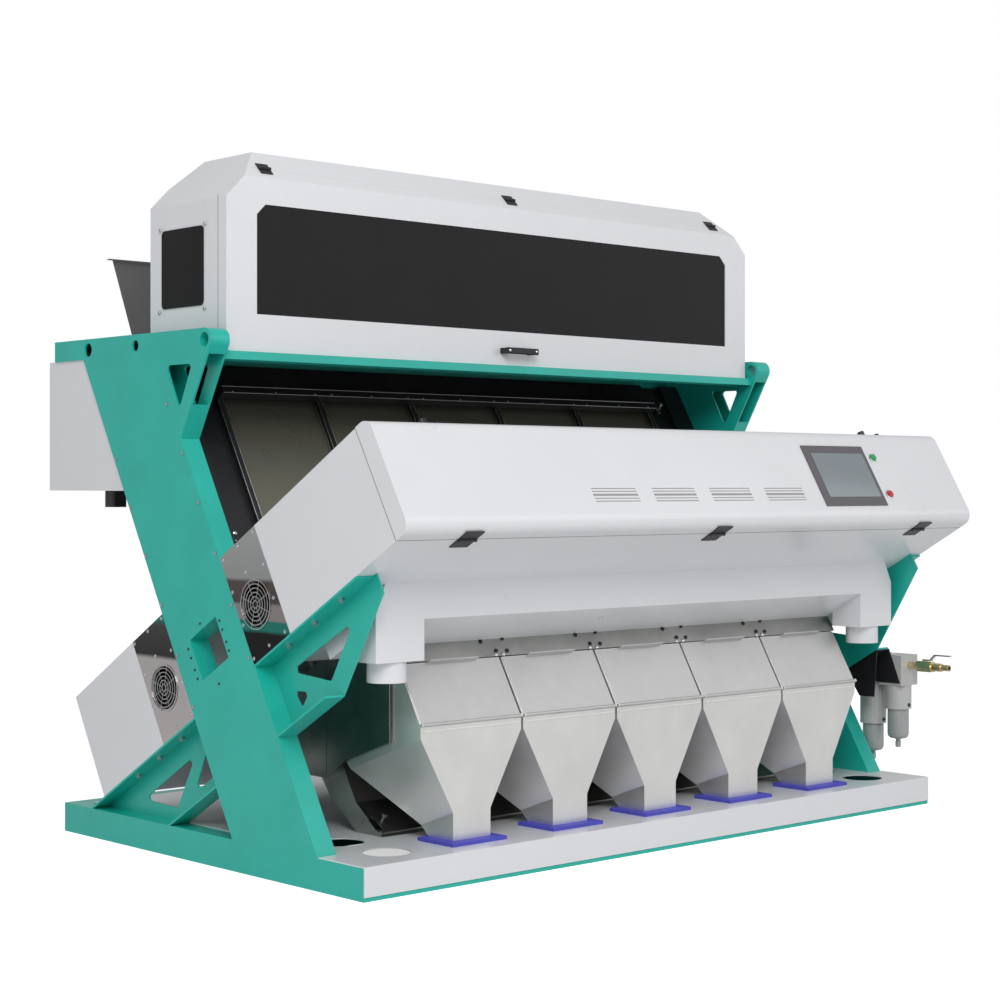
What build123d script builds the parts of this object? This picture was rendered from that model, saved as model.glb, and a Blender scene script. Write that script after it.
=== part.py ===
from build123d import *
import os
from math import acos, atan2, cos, hypot, radians, sin, tan

# Tea sorting machine with five inclined chutes.
# Millimetres. The origin is the centre of the base's underside, x runs to the right,
# y to the rear and z up. Chutes, columns and optical boxes share one lean: in the side
# view, v runs up the chutes and u runs across them, to the rear and down.

os.makedirs("parts", exist_ok=True)

# Lean of the chutes from the vertical
LEAN = 30.0
COS = cos(radians(LEAN))
SIN = sin(radians(LEAN))

# Side frames and sheet thicknesses
OUTER_X = 1200.0
FRAME_T = 64.0
INNER_X = OUTER_X - FRAME_T
PLATE = 6.0
WEB = 5.0
SHEET = 3.0
SMALL_GAP = 0.3
FIT = 0.05

# Flat sides that stand for the circles of small pieces
KNOB_SIDES = 12
PIN_SIDES = 8
FAN_SIDES = 24

# Base
BASE_H = 90.0
BASE_HALF_D = 735.0
RAIL_TOP = BASE_H - SHEET
CROSS_W = 120.0
REAR_CROSS_Y = 430.0
APRON_BOTTOM = 12.0
ANCHOR_R = 9.0
PORT_R = 65.0
PORT_X = 1018.0
PORT_FRONT_Y = -603.0
PORT_REAR_Y = -405.0
PAN_INNER_X = 900.0
PAN_REAR_Y = -320.0

# Columns, in the leaning frame
COLUMN_FRONT_U = -512.0
COLUMN_REAR_U = -178.0
COLUMN_TOP_V = 1240.0
COVER_V = (383.0, 1215.0)
COVER_RIM = 22.0
PASS_U = -340.0
PASS_V = 502.0
PASS_W = 146.0
PASS_H = 127.0
LINER = 4.0
SCREW_AF_R = 5.5
SCREW_HEAD = 2.5

# Heads of the side frames
HEAD_TOP = 1503.0
HEAD_BOTTOM = 1442.0
HEAD_REAR_Y = 795.0
GUSSET_FOOT = (99.0, 1193.0)
BOSS_Y = -20.0
BOSS_R = 33.0
BOSS_Z = HEAD_TOP - BOSS_R
LIFT_R = 21.0
TUBE_R = 27.0
HEAD_HOLES = ((336.0, 16.5), (599.0, 20.5))
GUSSET_SLOT_Z = (1290.0, 1430.0)
GUSSET_WINDOW = ((41.0, 1405.0), (173.0, 1405.0), (106.0, 1277.0))

# Arms that carry the optical boxes
ARM_TOP_V = 367.0
ARM_BOTTOM_V = 152.0
ARM_FRONT_U = -1034.0
ARM_NOSE_V = 311.0
ARM_HEEL_U = -751.0
ARM_FLANGE_U = -1023.0
WINDOW_R = 11.0
FRONT_WINDOWS = (
    ((-577.0, 311.0), (-891.0, 305.0), (-726.0, 209.0)),
    ((-562.0, 262.0), (-626.0, 226.0), (-574.0, 203.0)),
)
REAR_WINDOWS = (
    ((264.0, 303.0), (-51.0, 305.0), (113.0, 210.0)),
    ((8.0, 213.0), (-100.0, 288.0), (-130.0, 213.0)),
)
ARM_BOLT_U = (-903.0, -772.0, -641.0, -47.0, 84.0, 215.0)
BOLT_AF_R = 10.0
BOLT_HEAD = 8.0

# Optical boxes
BOX_BOTTOM_V = ARM_TOP_V
BOX_TOP_V = 695.0
BOX_FRONT_U = -1210.0
STRIP_FRONT_U = -700.0
REAR_BOX_U = 374.0
STRIP_REAR_U = 3.0
FAN_V = 506.0
FRONT_FAN_U = -600.0
REAR_FAN_U = -83.0
FAN_BORE_R = 62.0
GUARD_R = 69.0
GUARD_WIRE = 3.0
FAN_FRAME = 146.0
FAN_DEPTH = 38.0
FAN_HUB_R = 22.0
FAN_SHAFT_R = 4.0
FAN_BLADES = 7
VIEW_HALF_X = 900.0
VIEW_V = (400.0, 600.0)
PANE_T = 4.0
PANE_LAP = 15.0

# Front cover with its panel
COVER_DEPTH = 58.0
COVER_R = 36.0
SCREEN_X = (475.0, 776.0)
SCREEN_V = (420.0, 633.0)
BEZEL = 6.0
BEZEL_T = 4.0
SCREEN_BODY = 30.0
BUTTON_X = 812.0
START_V = 593.0
STOP_V = 460.0
BUTTON_R = 11.0
BUTTON_PROUD = 8.0
VENT_X = (-419.0, -178.0, 63.0, 305.0)
VENT_V = 463.0
VENT_W = 88.0
VENT_SLOTS = ((-20.0, 3.0), (-11.0, 3.0), (0.0, 7.0), (11.0, 3.0), (20.0, 3.0))
LATCH_X = 940.0
LATCH_U = -1185.0
LATCH_R = 11.0
LATCH_KNOB = 46.0
LATCH_LEVER = 56.0

# Hinges of the cover and of the hood door
HINGE_X = 965.0
COVER_HINGE = (62.0, 38.0)
HOOD_HINGE = (42.0, 20.0)
HINGE_RISE = 30.0
LEAF_T = 3.0
KNUCKLE_R = 4.5
PIN_R = 2.5

# Hood
HOOD_X = 1117.0
HOOD_FRONT_Y = -8.0
HOOD_REAR_Y = 384.0
HOOD_BOTTOM = 1443.0
HOOD_TOP = 2031.0
HOOD_BEVEL = 86.0
HOOD_END_BEVEL = 148.0
HOOD_SHOULDER = HOOD_TOP - HOOD_BEVEL
HOOD_END_Z = HOOD_TOP - HOOD_END_BEVEL
HOOD_REAR_BEVEL = 66.0
DOOR_SEAM_Y = 26.0
DOOR_FOLD = 6.0
WINDOW_X = 1011.0
WINDOW_Z = (1552.0, 1869.0)
WINDOW_CHAMFER = 30.0
HANDLE_L = 133.0
HANDLE_Z = 1489.0
SIDE_WINDOW_Y = (104.0, 320.0)
SIDE_WINDOW_Z = (1579.0, 1809.0)
SIDE_WINDOW_R = 15.0

# Beams between the heads: low and high y
BEAM_H = 24.0
BEAM_BOTTOM = HOOD_BOTTOM - BEAM_H
FRONT_BEAM_Y = (-20.0, 60.0)
MIDDLE_BEAM_Y = (370.0, 430.0)
REAR_BEAM_Y = (500.0, 560.0)

# Chutes
CHUTES = 5
PITCH = 374.0
CHUTE_X = tuple(PITCH * (i - (CHUTES - 1) / 2) for i in range(CHUTES))
DIVIDER_X = tuple(PITCH * (i - CHUTES / 2) for i in range(CHUTES + 1))
CHUTE_U = -392.0
CHUTE_V = (690.0, 1400.0)
CHUTE_W = 350.0
CHUTE_LIP = 12.0
DIVIDER_W = 20.0
DIVIDER_U = -412.0
END_PLATE_X = 1045.0
CROSSBAR = 30.0
CROSSBAR_V = (760.0, 1270.0)
CLAMP_V = (1288.0, 1312.0)
CLAMP_DEPTH = 34.0
CLAMP_X = 972.0
CLAMP_PIN_V = 1290.0
CLAMP_R = 9.0
CLAMP_BOSS = 22.0
CLAMP_LEVER = 42.0
FRONT_PANEL_TOP_V = 1405.0

# Feeding
TRAY_Y = (335.0, 745.0)
TRAY_Z = 1490.0
TRAY_WALL = 40.0
TRAY_W = 350.0
DRIVE_Y = (505.0, 625.0)
DRIVE_W = 130.0
FEED_X = 950.0
FEED_FRONT_TOP = 1720.0
FEED_REAR_TOP = (868.0, 1783.0)
FEED_REAR_FOOT = (753.0, 1537.0)
FEED_OUTLET_Z = 1537.0
FEED_FLANGE = 12.0

# Outlet hoppers, behind their vertical front plates
FRONT_Y = -640.0
MOUTH_Z = 100.0
MOUTH_D = 103.0
MOUTH_W = 136.0
SPOUT_Z = 176.0
CREASE_Z = 415.0
HOPPER_TOP = 577.0
HOPPER_W = 366.0
HOPPER_REAR_Y = -180.0
FLOOR_RISE = 0.885
FOLD_FRONT_Z = 384.0
FOLD_REAR = (-365.0, 284.0)
PAD_W = 197.0
PAD_D = 147.0
PAD_FRONT_Y = FRONT_Y - 34.0
DOOR_W = 358.0
DOOR_LIP = 20.0

# Dust duct under the front box
DUCT_X = 1100.0
DUCT_TOP_X = 1067.0
DUCT_SHOULDER = 738.0
DUCT_FRONT_Y = -660.0
DUCT_V = 282.0
DUCT_REAR_U = -700.0
LEG_INNER_X = 935.0
LEG_REAR_Y = -545.0
LEG_Z = 596.0
SPIGOT_R = 53.0
SPIGOT_Z = 540.0
SPIGOT_X = (DUCT_X + LEG_INNER_X) / 2
SPIGOT_Y = (DUCT_FRONT_Y + LEG_REAR_Y) / 2

# Chamber under the chutes
CHAMBER_X = 940.0
SEAM_Y = -242.0
REJECT_X = 886.0
REJECT_MOUTH_Y = (-423.0, -311.0)
FLAP_SLOT_W = 300.0
FLAP_T = 3.0
FLAP_L = 84.0
FLAP_KNOB_X = 850.0
FLAP_KNOB_S = 58.0
MANIFOLD_U = (-388.0, -340.0)
MANIFOLD_V = (386.0, 432.0)

# Electrical cabinet
CABINET_X = 1195.0
CABINET_Z = (1045.0, HEAD_BOTTOM)
CABINET_REAR_Y = 806.0
CABINET_DOOR_T = 29.0
CABINET_HINGE_X = (-900.0, 0.0, 900.0)
CABINET_BARREL = 80.0
INLET = 50.0
INLET_X = -1120.0
INLET_Y = 572.0

# Compressed air
AIR_X = 1250.0
AIR_HEAD = 92.0
AIR_TOP = 486.0
AIR_HEAD_H = 103.0
FILTER_Y = (-578.0, -473.0)
BODY_BOTTOM = (302.0, 245.0)
BOWL_BOTTOM = (200.0, 150.0)
BODY_R = 45.0
BOWL_R = 36.0
VALVE_Z = 451.0
VALVE_Y = -690.0
NIPPLE_END_Y = -786.0
NIPPLE_R = 10.5


# Helpers: places in the side view, and blocks added to the part being built

def yz(u, v):
    """Side-view point (y, z) of the leaning-frame point (u, v)."""
    return (u * COS + v * SIN, v * COS - u * SIN)


def lean_plane(x):
    """Side-view plane at x with its axes along u and v, facing +x."""
    return Plane(origin=(x, 0, 0), x_dir=(0, COS, -SIN), z_dir=(1, 0, 0))


def side_plane(x):
    """Side-view plane at x with its axes along y and z, facing +x."""
    return Plane(origin=(x, 0, 0), x_dir=(0, 1, 0), z_dir=(1, 0, 0))


def slab(x, y, z, mode=Mode.ADD):
    """Upright block between pairs of limits."""
    with BuildSketch(Plane.XY.offset(z[0])) as face:
        with Locations(((x[0] + x[1]) / 2, (y[0] + y[1]) / 2)):
            Rectangle(x[1] - x[0], y[1] - y[0])
    extrude(face.sketch, amount=z[1] - z[0], mode=mode)


def lean_slab(x, u, v, mode=Mode.ADD):
    """Block in the leaning frame between pairs of limits."""
    with BuildSketch(lean_plane(x[0])) as face:
        with Locations(((u[0] + u[1]) / 2, (v[0] + v[1]) / 2)):
            Rectangle(u[1] - u[0], v[1] - v[0])
    extrude(face.sketch, amount=x[1] - x[0], mode=mode)


def prism(points, x, plane=side_plane, radius=0.0, mode=Mode.ADD):
    """Side-view outline carried from x[0] to x[1], with rounded corners if asked."""
    with BuildSketch(plane(x[0])) as face:
        with BuildLine():
            Polyline(*points, close=True)
        make_face()
        if radius:
            fillet(face.vertices(), radius)
    extrude(face.sketch, amount=x[1] - x[0], mode=mode)


def disc(radius, sides=KNOB_SIDES, mode=Mode.ADD):
    """Round outline: flat sides inside its circle for a small repeated piece, a circle for 0."""
    if sides:
        RegularPolygon(radius, sides, mode=mode)
    else:
        Circle(radius, mode=mode)


def bore(radius, sides=KNOB_SIDES, mode=Mode.ADD):
    """Round hole for such a piece, drawn with flat sides that stay outside its circle."""
    RegularPolygon(radius, sides, major_radius=False, mode=mode)


def lean_rod(x, u, v, radius, outline=disc, sides=KNOB_SIDES, mode=Mode.ADD):
    """Bar along x at (u, v)."""
    with BuildSketch(lean_plane(x[0])) as face:
        with Locations((u, v)):
            outline(radius, sides)
    extrude(face.sketch, amount=x[1] - x[0], mode=mode)


def upright_rod(x, y, z, radius, sides=0, mode=Mode.ADD):
    """Bar along z at (x, y) between two heights, round unless it has flat sides."""
    with BuildSketch(Plane.XY.offset(z[0])) as face:
        with Locations((x, y)):
            if sides:
                RegularPolygon(radius, sides)
            else:
                Circle(radius)
    extrude(face.sketch, amount=z[1] - z[0], mode=mode)


def both_sides(x):
    """The pair of limits x and its mirror image, each from low to high."""
    return ((-x[1], -x[0]), x)


def keep(piece, name):
    """Label a finished piece and write its file."""
    piece.part.label = name
    export_step(piece.part, f"parts/{name}.step")


# Base frame: a ring of channels open to the inside, two cross tubes, two front pans

with BuildPart() as base_frame:
    for sx in both_sides((INNER_X, OUTER_X)):
        slab(sx, (-BASE_HALF_D, BASE_HALF_D), (0, RAIL_TOP))
    for sy in both_sides((BASE_HALF_D - FRAME_T, BASE_HALF_D)):
        slab((-INNER_X, INNER_X), sy, (0, RAIL_TOP))
    slab(
        (-OUTER_X + WEB, OUTER_X - WEB),
        (-BASE_HALF_D + WEB, BASE_HALF_D - WEB),
        (WEB, RAIL_TOP - WEB),
        mode=Mode.SUBTRACT,
    )
    for middle_y in (0, REAR_CROSS_Y):
        slab((-INNER_X, INNER_X), (middle_y - CROSS_W / 2, middle_y + CROSS_W / 2), (0, RAIL_TOP))
        slab(
            (-INNER_X, INNER_X),
            (middle_y - CROSS_W / 2 + WEB, middle_y + CROSS_W / 2 - WEB),
            (WEB, RAIL_TOP - WEB),
            mode=Mode.SUBTRACT,
        )
    for sx in both_sides((PAN_INNER_X, INNER_X)):
        slab(sx, (-BASE_HALF_D + FRAME_T, PAN_REAR_Y), (0, WEB))
    with BuildSketch(Plane.XY):
        with GridLocations(2 * OUTER_X - FRAME_T, 2 * BASE_HALF_D - FRAME_T, 2, 2):
            Circle(ANCHOR_R)
    extrude(amount=WEB, mode=Mode.SUBTRACT)
keep(base_frame, "base_frame")

# Base tray: a sheet on the rails with a front apron, stepped in beside the columns

column_foot_y = yz(COLUMN_FRONT_U, (RAIL_TOP + COLUMN_FRONT_U * SIN) / COS)[0]
tray_step_y = column_foot_y - 6.0
mouth_y = (FRONT_Y + SHEET, FRONT_Y + MOUTH_D - SHEET)
reject_y = (REJECT_MOUTH_Y[0] + SHEET, REJECT_MOUTH_Y[1] - SHEET)

with BuildPart() as base_tray:
    slab((-OUTER_X, OUTER_X), (-BASE_HALF_D - SHEET, tray_step_y), (RAIL_TOP, BASE_H))
    slab((-INNER_X, INNER_X), (tray_step_y, BASE_HALF_D - FRAME_T), (RAIL_TOP, BASE_H))
    slab((-OUTER_X, OUTER_X), (-BASE_HALF_D - SHEET, -BASE_HALF_D), (APRON_BOTTOM, RAIL_TOP))
    for port_x in (-PORT_X, PORT_X):
        for port_y in (PORT_FRONT_Y, PORT_REAR_Y):
            upright_rod(port_x, port_y, (RAIL_TOP, BASE_H), PORT_R, mode=Mode.SUBTRACT)
    for cx in CHUTE_X:
        mouth_x = (cx - MOUTH_W / 2 + SHEET, cx + MOUTH_W / 2 - SHEET)
        slab(mouth_x, mouth_y, (RAIL_TOP, BASE_H), mode=Mode.SUBTRACT)
    reject_x = (-REJECT_X + SHEET, REJECT_X - SHEET)
    slab(reject_x, reject_y, (RAIL_TOP, BASE_H), mode=Mode.SUBTRACT)
keep(base_tray, "base_tray")

# Side frames: one welded box plate each, from the base rail up to the head

column_foot_v = (RAIL_TOP + COLUMN_REAR_U * SIN) / COS
foot_front = yz(COLUMN_FRONT_U, (RAIL_TOP + COLUMN_FRONT_U * SIN) / COS)
foot_rear = yz(COLUMN_REAR_U, column_foot_v)
head_rear_corner = yz(COLUMN_REAR_U, (HEAD_BOTTOM + COLUMN_REAR_U * SIN) / COS)

# The gusset's front edge leaves the boss as a tangent
foot_to_boss = (GUSSET_FOOT[0] - BOSS_Y, GUSSET_FOOT[1] - BOSS_Z)
tangent_angle = atan2(foot_to_boss[1], foot_to_boss[0]) - acos(BOSS_R / hypot(*foot_to_boss))
tangent_point = (BOSS_Y + BOSS_R * cos(tangent_angle), BOSS_Z + BOSS_R * sin(tangent_angle))


def gusset_y(z):
    """y of the gusset's slanted front edge at height z."""
    share = (z - GUSSET_FOOT[1]) / (tangent_point[1] - GUSSET_FOOT[1])
    return GUSSET_FOOT[0] + share * (tangent_point[0] - GUSSET_FOOT[0])


frame_outline = (
    foot_front,
    GUSSET_FOOT,
    tangent_point,
    (BOSS_Y, HEAD_TOP),
    (HEAD_REAR_Y, HEAD_TOP),
    (HEAD_REAR_Y, HEAD_BOTTOM),
    head_rear_corner,
    foot_rear,
)
outer_skin = (-OUTER_X, -OUTER_X + PLATE)
inner_skin = (-INNER_X - PLATE, -INNER_X)
cavity_x = (outer_skin[1], inner_skin[0])
cover_u = (COLUMN_FRONT_U, COLUMN_REAR_U)

with BuildPart() as left_side_frame:
    with BuildSketch(side_plane(-OUTER_X)):
        with BuildLine():
            Polyline(*frame_outline, close=True)
        make_face()
        with Locations((BOSS_Y, BOSS_Z)):
            Circle(BOSS_R)
    extrude(amount=FRAME_T)
    with BuildSketch(side_plane(cavity_x[0])):
        with BuildLine():
            Polyline(*frame_outline, close=True)
        make_face()
        offset(amount=-PLATE, kind=Kind.INTERSECTION)
    extrude(amount=cavity_x[1] - cavity_x[0], mode=Mode.SUBTRACT)
    # Lifting tube through the boss, and the liner of the pass-through window
    with BuildSketch(side_plane(-OUTER_X)):
        with Locations((BOSS_Y, BOSS_Z)):
            Circle(TUBE_R)
    extrude(amount=FRAME_T)
    lean_slab(
        (-OUTER_X, -INNER_X),
        (PASS_U - PASS_W / 2 - LINER, PASS_U + PASS_W / 2 + LINER),
        (PASS_V - PASS_H / 2 - LINER, PASS_V + PASS_H / 2 + LINER),
    )
    lean_slab(
        (-OUTER_X, -INNER_X),
        (PASS_U - PASS_W / 2, PASS_U + PASS_W / 2),
        (PASS_V - PASS_H / 2, PASS_V + PASS_H / 2),
        mode=Mode.SUBTRACT,
    )
    with BuildSketch(side_plane(-OUTER_X)):
        with Locations((BOSS_Y, BOSS_Z)):
            Circle(LIFT_R)
        for hole_y, hole_r in HEAD_HOLES:
            with Locations((hole_y, BOSS_Z)):
                Circle(hole_r)
    extrude(amount=FRAME_T, mode=Mode.SUBTRACT)
    prism(GUSSET_WINDOW, (-OUTER_X, -INNER_X), radius=WINDOW_R, mode=Mode.SUBTRACT)
    # The gusset's front web is open between the window's foot and the lifting tube
    low_z, high_z = GUSSET_SLOT_Z
    web_reach = 2 * PLATE
    prism(
        (
            (gusset_y(low_z) - web_reach, low_z),
            (gusset_y(high_z) - web_reach, high_z),
            (gusset_y(high_z) + web_reach, high_z),
            (gusset_y(low_z) + web_reach, low_z),
        ),
        cavity_x,
        mode=Mode.SUBTRACT,
    )
    # Seat of the column cover, with the access opening behind it
    lean_slab((-OUTER_X, -OUTER_X + SHEET), cover_u, COVER_V, mode=Mode.SUBTRACT)
    for access_v in (
        (COVER_V[0] + COVER_RIM, PASS_V - PASS_H / 2 - LINER - COVER_RIM),
        (PASS_V + PASS_H / 2 + LINER + COVER_RIM, COVER_V[1] - COVER_RIM),
    ):
        if access_v[1] > access_v[0]:
            lean_slab(
                outer_skin,
                (COLUMN_FRONT_U + COVER_RIM, COLUMN_REAR_U - COVER_RIM),
                access_v,
                mode=Mode.SUBTRACT,
            )
keep(left_side_frame, "left_side_frame")

with BuildPart() as right_side_frame:
    mirror(left_side_frame.part, about=Plane.YZ)
keep(right_side_frame, "right_side_frame")

# Column covers: flush bolted plates round the pass-through windows

with BuildPart() as column_covers:
    lean_slab((-OUTER_X, -OUTER_X + SHEET), cover_u, COVER_V)
    lean_slab(
        (-OUTER_X, -OUTER_X + SHEET),
        (PASS_U - PASS_W / 2, PASS_U + PASS_W / 2),
        (PASS_V - PASS_H / 2, PASS_V + PASS_H / 2),
        mode=Mode.SUBTRACT,
    )
    mirror(about=Plane.YZ)
keep(column_covers, "column_covers")

# Arms: channels with lightening windows, open to the outside

left_flange_x = (-OUTER_X, -INNER_X)
arm_web_x = (-INNER_X - WEB, -INNER_X)


def foot_u(v):
    """u at which a line of constant v meets the top of the base rail."""
    return (v * COS - RAIL_TOP) / SIN


with BuildPart() as box_arms:
    prism(
        (
            (COLUMN_FRONT_U, ARM_TOP_V),
            (ARM_FRONT_U, ARM_TOP_V),
            (ARM_FRONT_U, ARM_NOSE_V),
            (ARM_HEEL_U, ARM_BOTTOM_V),
            (COLUMN_FRONT_U, ARM_BOTTOM_V),
        ),
        arm_web_x,
        plane=lean_plane,
    )
    lean_slab(left_flange_x, (ARM_FLANGE_U, COLUMN_FRONT_U), (ARM_TOP_V - PLATE, ARM_TOP_V))
    lean_slab(left_flange_x, (ARM_HEEL_U, COLUMN_FRONT_U), (ARM_BOTTOM_V, ARM_BOTTOM_V + PLATE))
    for window in FRONT_WINDOWS:
        prism(window, arm_web_x, plane=lean_plane, radius=WINDOW_R, mode=Mode.SUBTRACT)
    prism(
        (
            (COLUMN_REAR_U, ARM_TOP_V),
            (foot_u(ARM_TOP_V), ARM_TOP_V),
            (foot_u(ARM_BOTTOM_V), ARM_BOTTOM_V),
            (COLUMN_REAR_U, ARM_BOTTOM_V),
        ),
        arm_web_x,
        plane=lean_plane,
    )
    for high_v in (ARM_TOP_V, ARM_BOTTOM_V + PLATE):
        low_v = high_v - PLATE
        prism(
            (
                (COLUMN_REAR_U, high_v),
                (foot_u(high_v), high_v),
                (foot_u(low_v), low_v),
                (COLUMN_REAR_U, low_v),
            ),
            left_flange_x,
            plane=lean_plane,
        )
    for window in REAR_WINDOWS:
        prism(window, arm_web_x, plane=lean_plane, radius=WINDOW_R, mode=Mode.SUBTRACT)
    mirror(about=Plane.YZ)
keep(box_arms, "box_arms")

# Bolts: hexagon heads under the arm flanges and on the column covers

bolt_x = -(OUTER_X + INNER_X) / 2
cover_edge = COVER_RIM / 2
screw_count = 6

with BuildPart() as frame_bolts:
    for bolt_u in ARM_BOLT_U:
        bolt_y, bolt_z = yz(bolt_u, ARM_TOP_V - PLATE)
        with BuildSketch(Plane(origin=(bolt_x, bolt_y, bolt_z), x_dir=(1, 0, 0), z_dir=(0, -SIN, -COS))):
            RegularPolygon(BOLT_AF_R, 6)
        extrude(amount=BOLT_HEAD)
    with BuildSketch(lean_plane(-OUTER_X - SCREW_HEAD)):
        with Locations(((COLUMN_FRONT_U + COLUMN_REAR_U) / 2, (COVER_V[0] + COVER_V[1]) / 2)):
            with GridLocations(
                COLUMN_REAR_U - COLUMN_FRONT_U - 2 * cover_edge,
                (COVER_V[1] - COVER_V[0] - 2 * cover_edge) / (screw_count - 1),
                2,
                screw_count,
            ):
                RegularPolygon(SCREW_AF_R, 6)
    extrude(amount=SCREW_HEAD)
    mirror(about=Plane.YZ)
keep(frame_bolts, "frame_bolts")

# Crossbeams between the heads

with BuildPart() as crossbeams:
    for beam_y in (FRONT_BEAM_Y, MIDDLE_BEAM_Y, REAR_BEAM_Y):
        slab((-INNER_X, INNER_X), beam_y, (BEAM_BOTTOM, HOOD_BOTTOM))
        slab(
            (-INNER_X, INNER_X),
            (beam_y[0] + SHEET, beam_y[1] - SHEET),
            (BEAM_BOTTOM, HOOD_BOTTOM - SHEET),
            mode=Mode.SUBTRACT,
        )
keep(crossbeams, "crossbeams")

# Hood: the side profile and the front outline are crossed, which mitres the bevels

hinge_mid = (HOOD_FRONT_Y + HINGE_RISE, HOOD_SHOULDER + HINGE_RISE)
hood_side = (
    (HOOD_FRONT_Y, HOOD_BOTTOM),
    (HOOD_FRONT_Y, HOOD_SHOULDER),
    (HOOD_FRONT_Y + HOOD_BEVEL, HOOD_TOP),
    (HOOD_REAR_Y - HOOD_REAR_BEVEL, HOOD_TOP),
    (HOOD_REAR_Y, HOOD_SHOULDER),
    (HOOD_REAR_Y, HOOD_BOTTOM),
)
door_bottom = HOOD_BOTTOM + SMALL_GAP
door_side = (
    (HOOD_FRONT_Y, door_bottom),
    (HOOD_FRONT_Y, HOOD_SHOULDER),
    hinge_mid,
    (hinge_mid[0] + DOOR_FOLD, hinge_mid[1] - DOOR_FOLD),
    (DOOR_SEAM_Y, hinge_mid[1] - 2 * DOOR_FOLD - hinge_mid[0] + DOOR_SEAM_Y),
    (DOOR_SEAM_Y, door_bottom),
)


def front_outline(inset):
    """Front view of the hood, drawn in from its outer faces by inset."""
    corner = inset * tan(radians(22.5))
    half = HOOD_X - inset
    top = HOOD_TOP - inset
    return (
        (-half, HOOD_BOTTOM),
        (-half, HOOD_END_Z - corner),
        (-HOOD_X + HOOD_END_BEVEL + corner, top),
        (HOOD_X - HOOD_END_BEVEL - corner, top),
        (half, HOOD_END_Z - corner),
        (half, HOOD_BOTTOM),
    )


def crossed(side, inset):
    """Solid of a side profile crossed with the front outline, both drawn in by inset."""
    with BuildPart() as body:
        with BuildSketch(side_plane(-OUTER_X)):
            with BuildLine():
                Polyline(*side, close=True)
            make_face()
            if inset:
                offset(amount=-inset, kind=Kind.INTERSECTION)
        extrude(amount=2 * OUTER_X)
        with BuildSketch(Plane(origin=(0, -OUTER_X, 0), x_dir=(1, 0, 0), z_dir=(0, -1, 0))):
            with BuildLine():
                Polyline(*front_outline(inset), close=True)
            make_face()
        extrude(amount=-3 * OUTER_X, mode=Mode.INTERSECT)
    return body.part


hood_outer = crossed(hood_side, 0.0)
hood_inner = crossed(hood_side, SHEET)
door_outer = crossed(door_side, 0.0)
door_inner = crossed(door_side, SHEET)

with BuildPart() as hood_shell:
    add(hood_outer)
    add(hood_inner, mode=Mode.SUBTRACT)
    # Open bottom, room for the door, and the passage of the feeder trays
    slab(
        (-HOOD_X + SHEET, HOOD_X - SHEET),
        (HOOD_FRONT_Y + SHEET, HOOD_REAR_Y - SHEET),
        (HOOD_BOTTOM, HOOD_BOTTOM + SHEET),
        mode=Mode.SUBTRACT,
    )
    with BuildSketch(side_plane(-OUTER_X)):
        with BuildLine():
            Polyline(*door_side, close=True)
        make_face()
        offset(amount=SMALL_GAP, kind=Kind.INTERSECTION)
    extrude(amount=2 * OUTER_X, mode=Mode.SUBTRACT)
    slab(
        (-FEED_X + PANE_LAP, FEED_X - PANE_LAP),
        (HOOD_REAR_Y - SHEET, HOOD_REAR_Y),
        (HOOD_BOTTOM, FEED_OUTLET_Z),
        mode=Mode.SUBTRACT,
    )
    slab(
        (-HOOD_X, HOOD_X),
        (SIDE_WINDOW_Y[0] + PANE_LAP, SIDE_WINDOW_Y[1] - PANE_LAP),
        (SIDE_WINDOW_Z[0] + PANE_LAP, SIDE_WINDOW_Z[1] - PANE_LAP),
        mode=Mode.SUBTRACT,
    )
keep(hood_shell, "hood_shell")

with BuildPart() as hood_door:
    add(door_outer)
    add(door_inner, mode=Mode.SUBTRACT)
    # The tray is open to the rear, inside its folded edges
    slab(
        (-HOOD_X + SHEET, HOOD_X - SHEET),
        (DOOR_SEAM_Y - SHEET, DOOR_SEAM_Y),
        (HOOD_BOTTOM + SHEET, HOOD_END_Z),
        mode=Mode.SUBTRACT,
    )
    with BuildSketch(Plane(origin=(0, HOOD_FRONT_Y, 0), x_dir=(1, 0, 0), z_dir=(0, -1, 0))) as opening:
        with Locations((0, (WINDOW_Z[0] + WINDOW_Z[1]) / 2)):
            Rectangle(2 * WINDOW_X, WINDOW_Z[1] - WINDOW_Z[0])
        chamfer(opening.vertices().group_by(Axis.Y)[-1], WINDOW_CHAMFER)
    extrude(amount=-SHEET, mode=Mode.SUBTRACT)
keep(hood_door, "hood_door")

pane_y = (HOOD_FRONT_Y + SHEET, HOOD_FRONT_Y + SHEET + PANE_T)

with BuildPart() as hood_glass:
    slab(
        (-WINDOW_X - PANE_LAP, WINDOW_X + PANE_LAP),
        pane_y,
        (WINDOW_Z[0] - PANE_LAP, WINDOW_Z[1] + PANE_LAP),
    )
keep(hood_glass, "hood_glass")

# Window panes: the hood's end windows and the view windows of both optical boxes

with BuildPart() as window_panes:
    with BuildSketch(side_plane(-HOOD_X - SHEET)):
        with Locations((sum(SIDE_WINDOW_Y) / 2, sum(SIDE_WINDOW_Z) / 2)):
            RectangleRounded(
                SIDE_WINDOW_Y[1] - SIDE_WINDOW_Y[0],
                SIDE_WINDOW_Z[1] - SIDE_WINDOW_Z[0],
                SIDE_WINDOW_R,
            )
    extrude(amount=SHEET)
    mirror(about=Plane.YZ)
    for pane_u in (
        (COLUMN_FRONT_U - SHEET - PANE_T, COLUMN_FRONT_U - SHEET),
        (COLUMN_REAR_U + SHEET, COLUMN_REAR_U + SHEET + PANE_T),
    ):
        lean_slab(
            (-VIEW_HALF_X - PANE_LAP, VIEW_HALF_X + PANE_LAP),
            pane_u,
            (VIEW_V[0] - PANE_LAP, VIEW_V[1] + PANE_LAP),
        )
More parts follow.
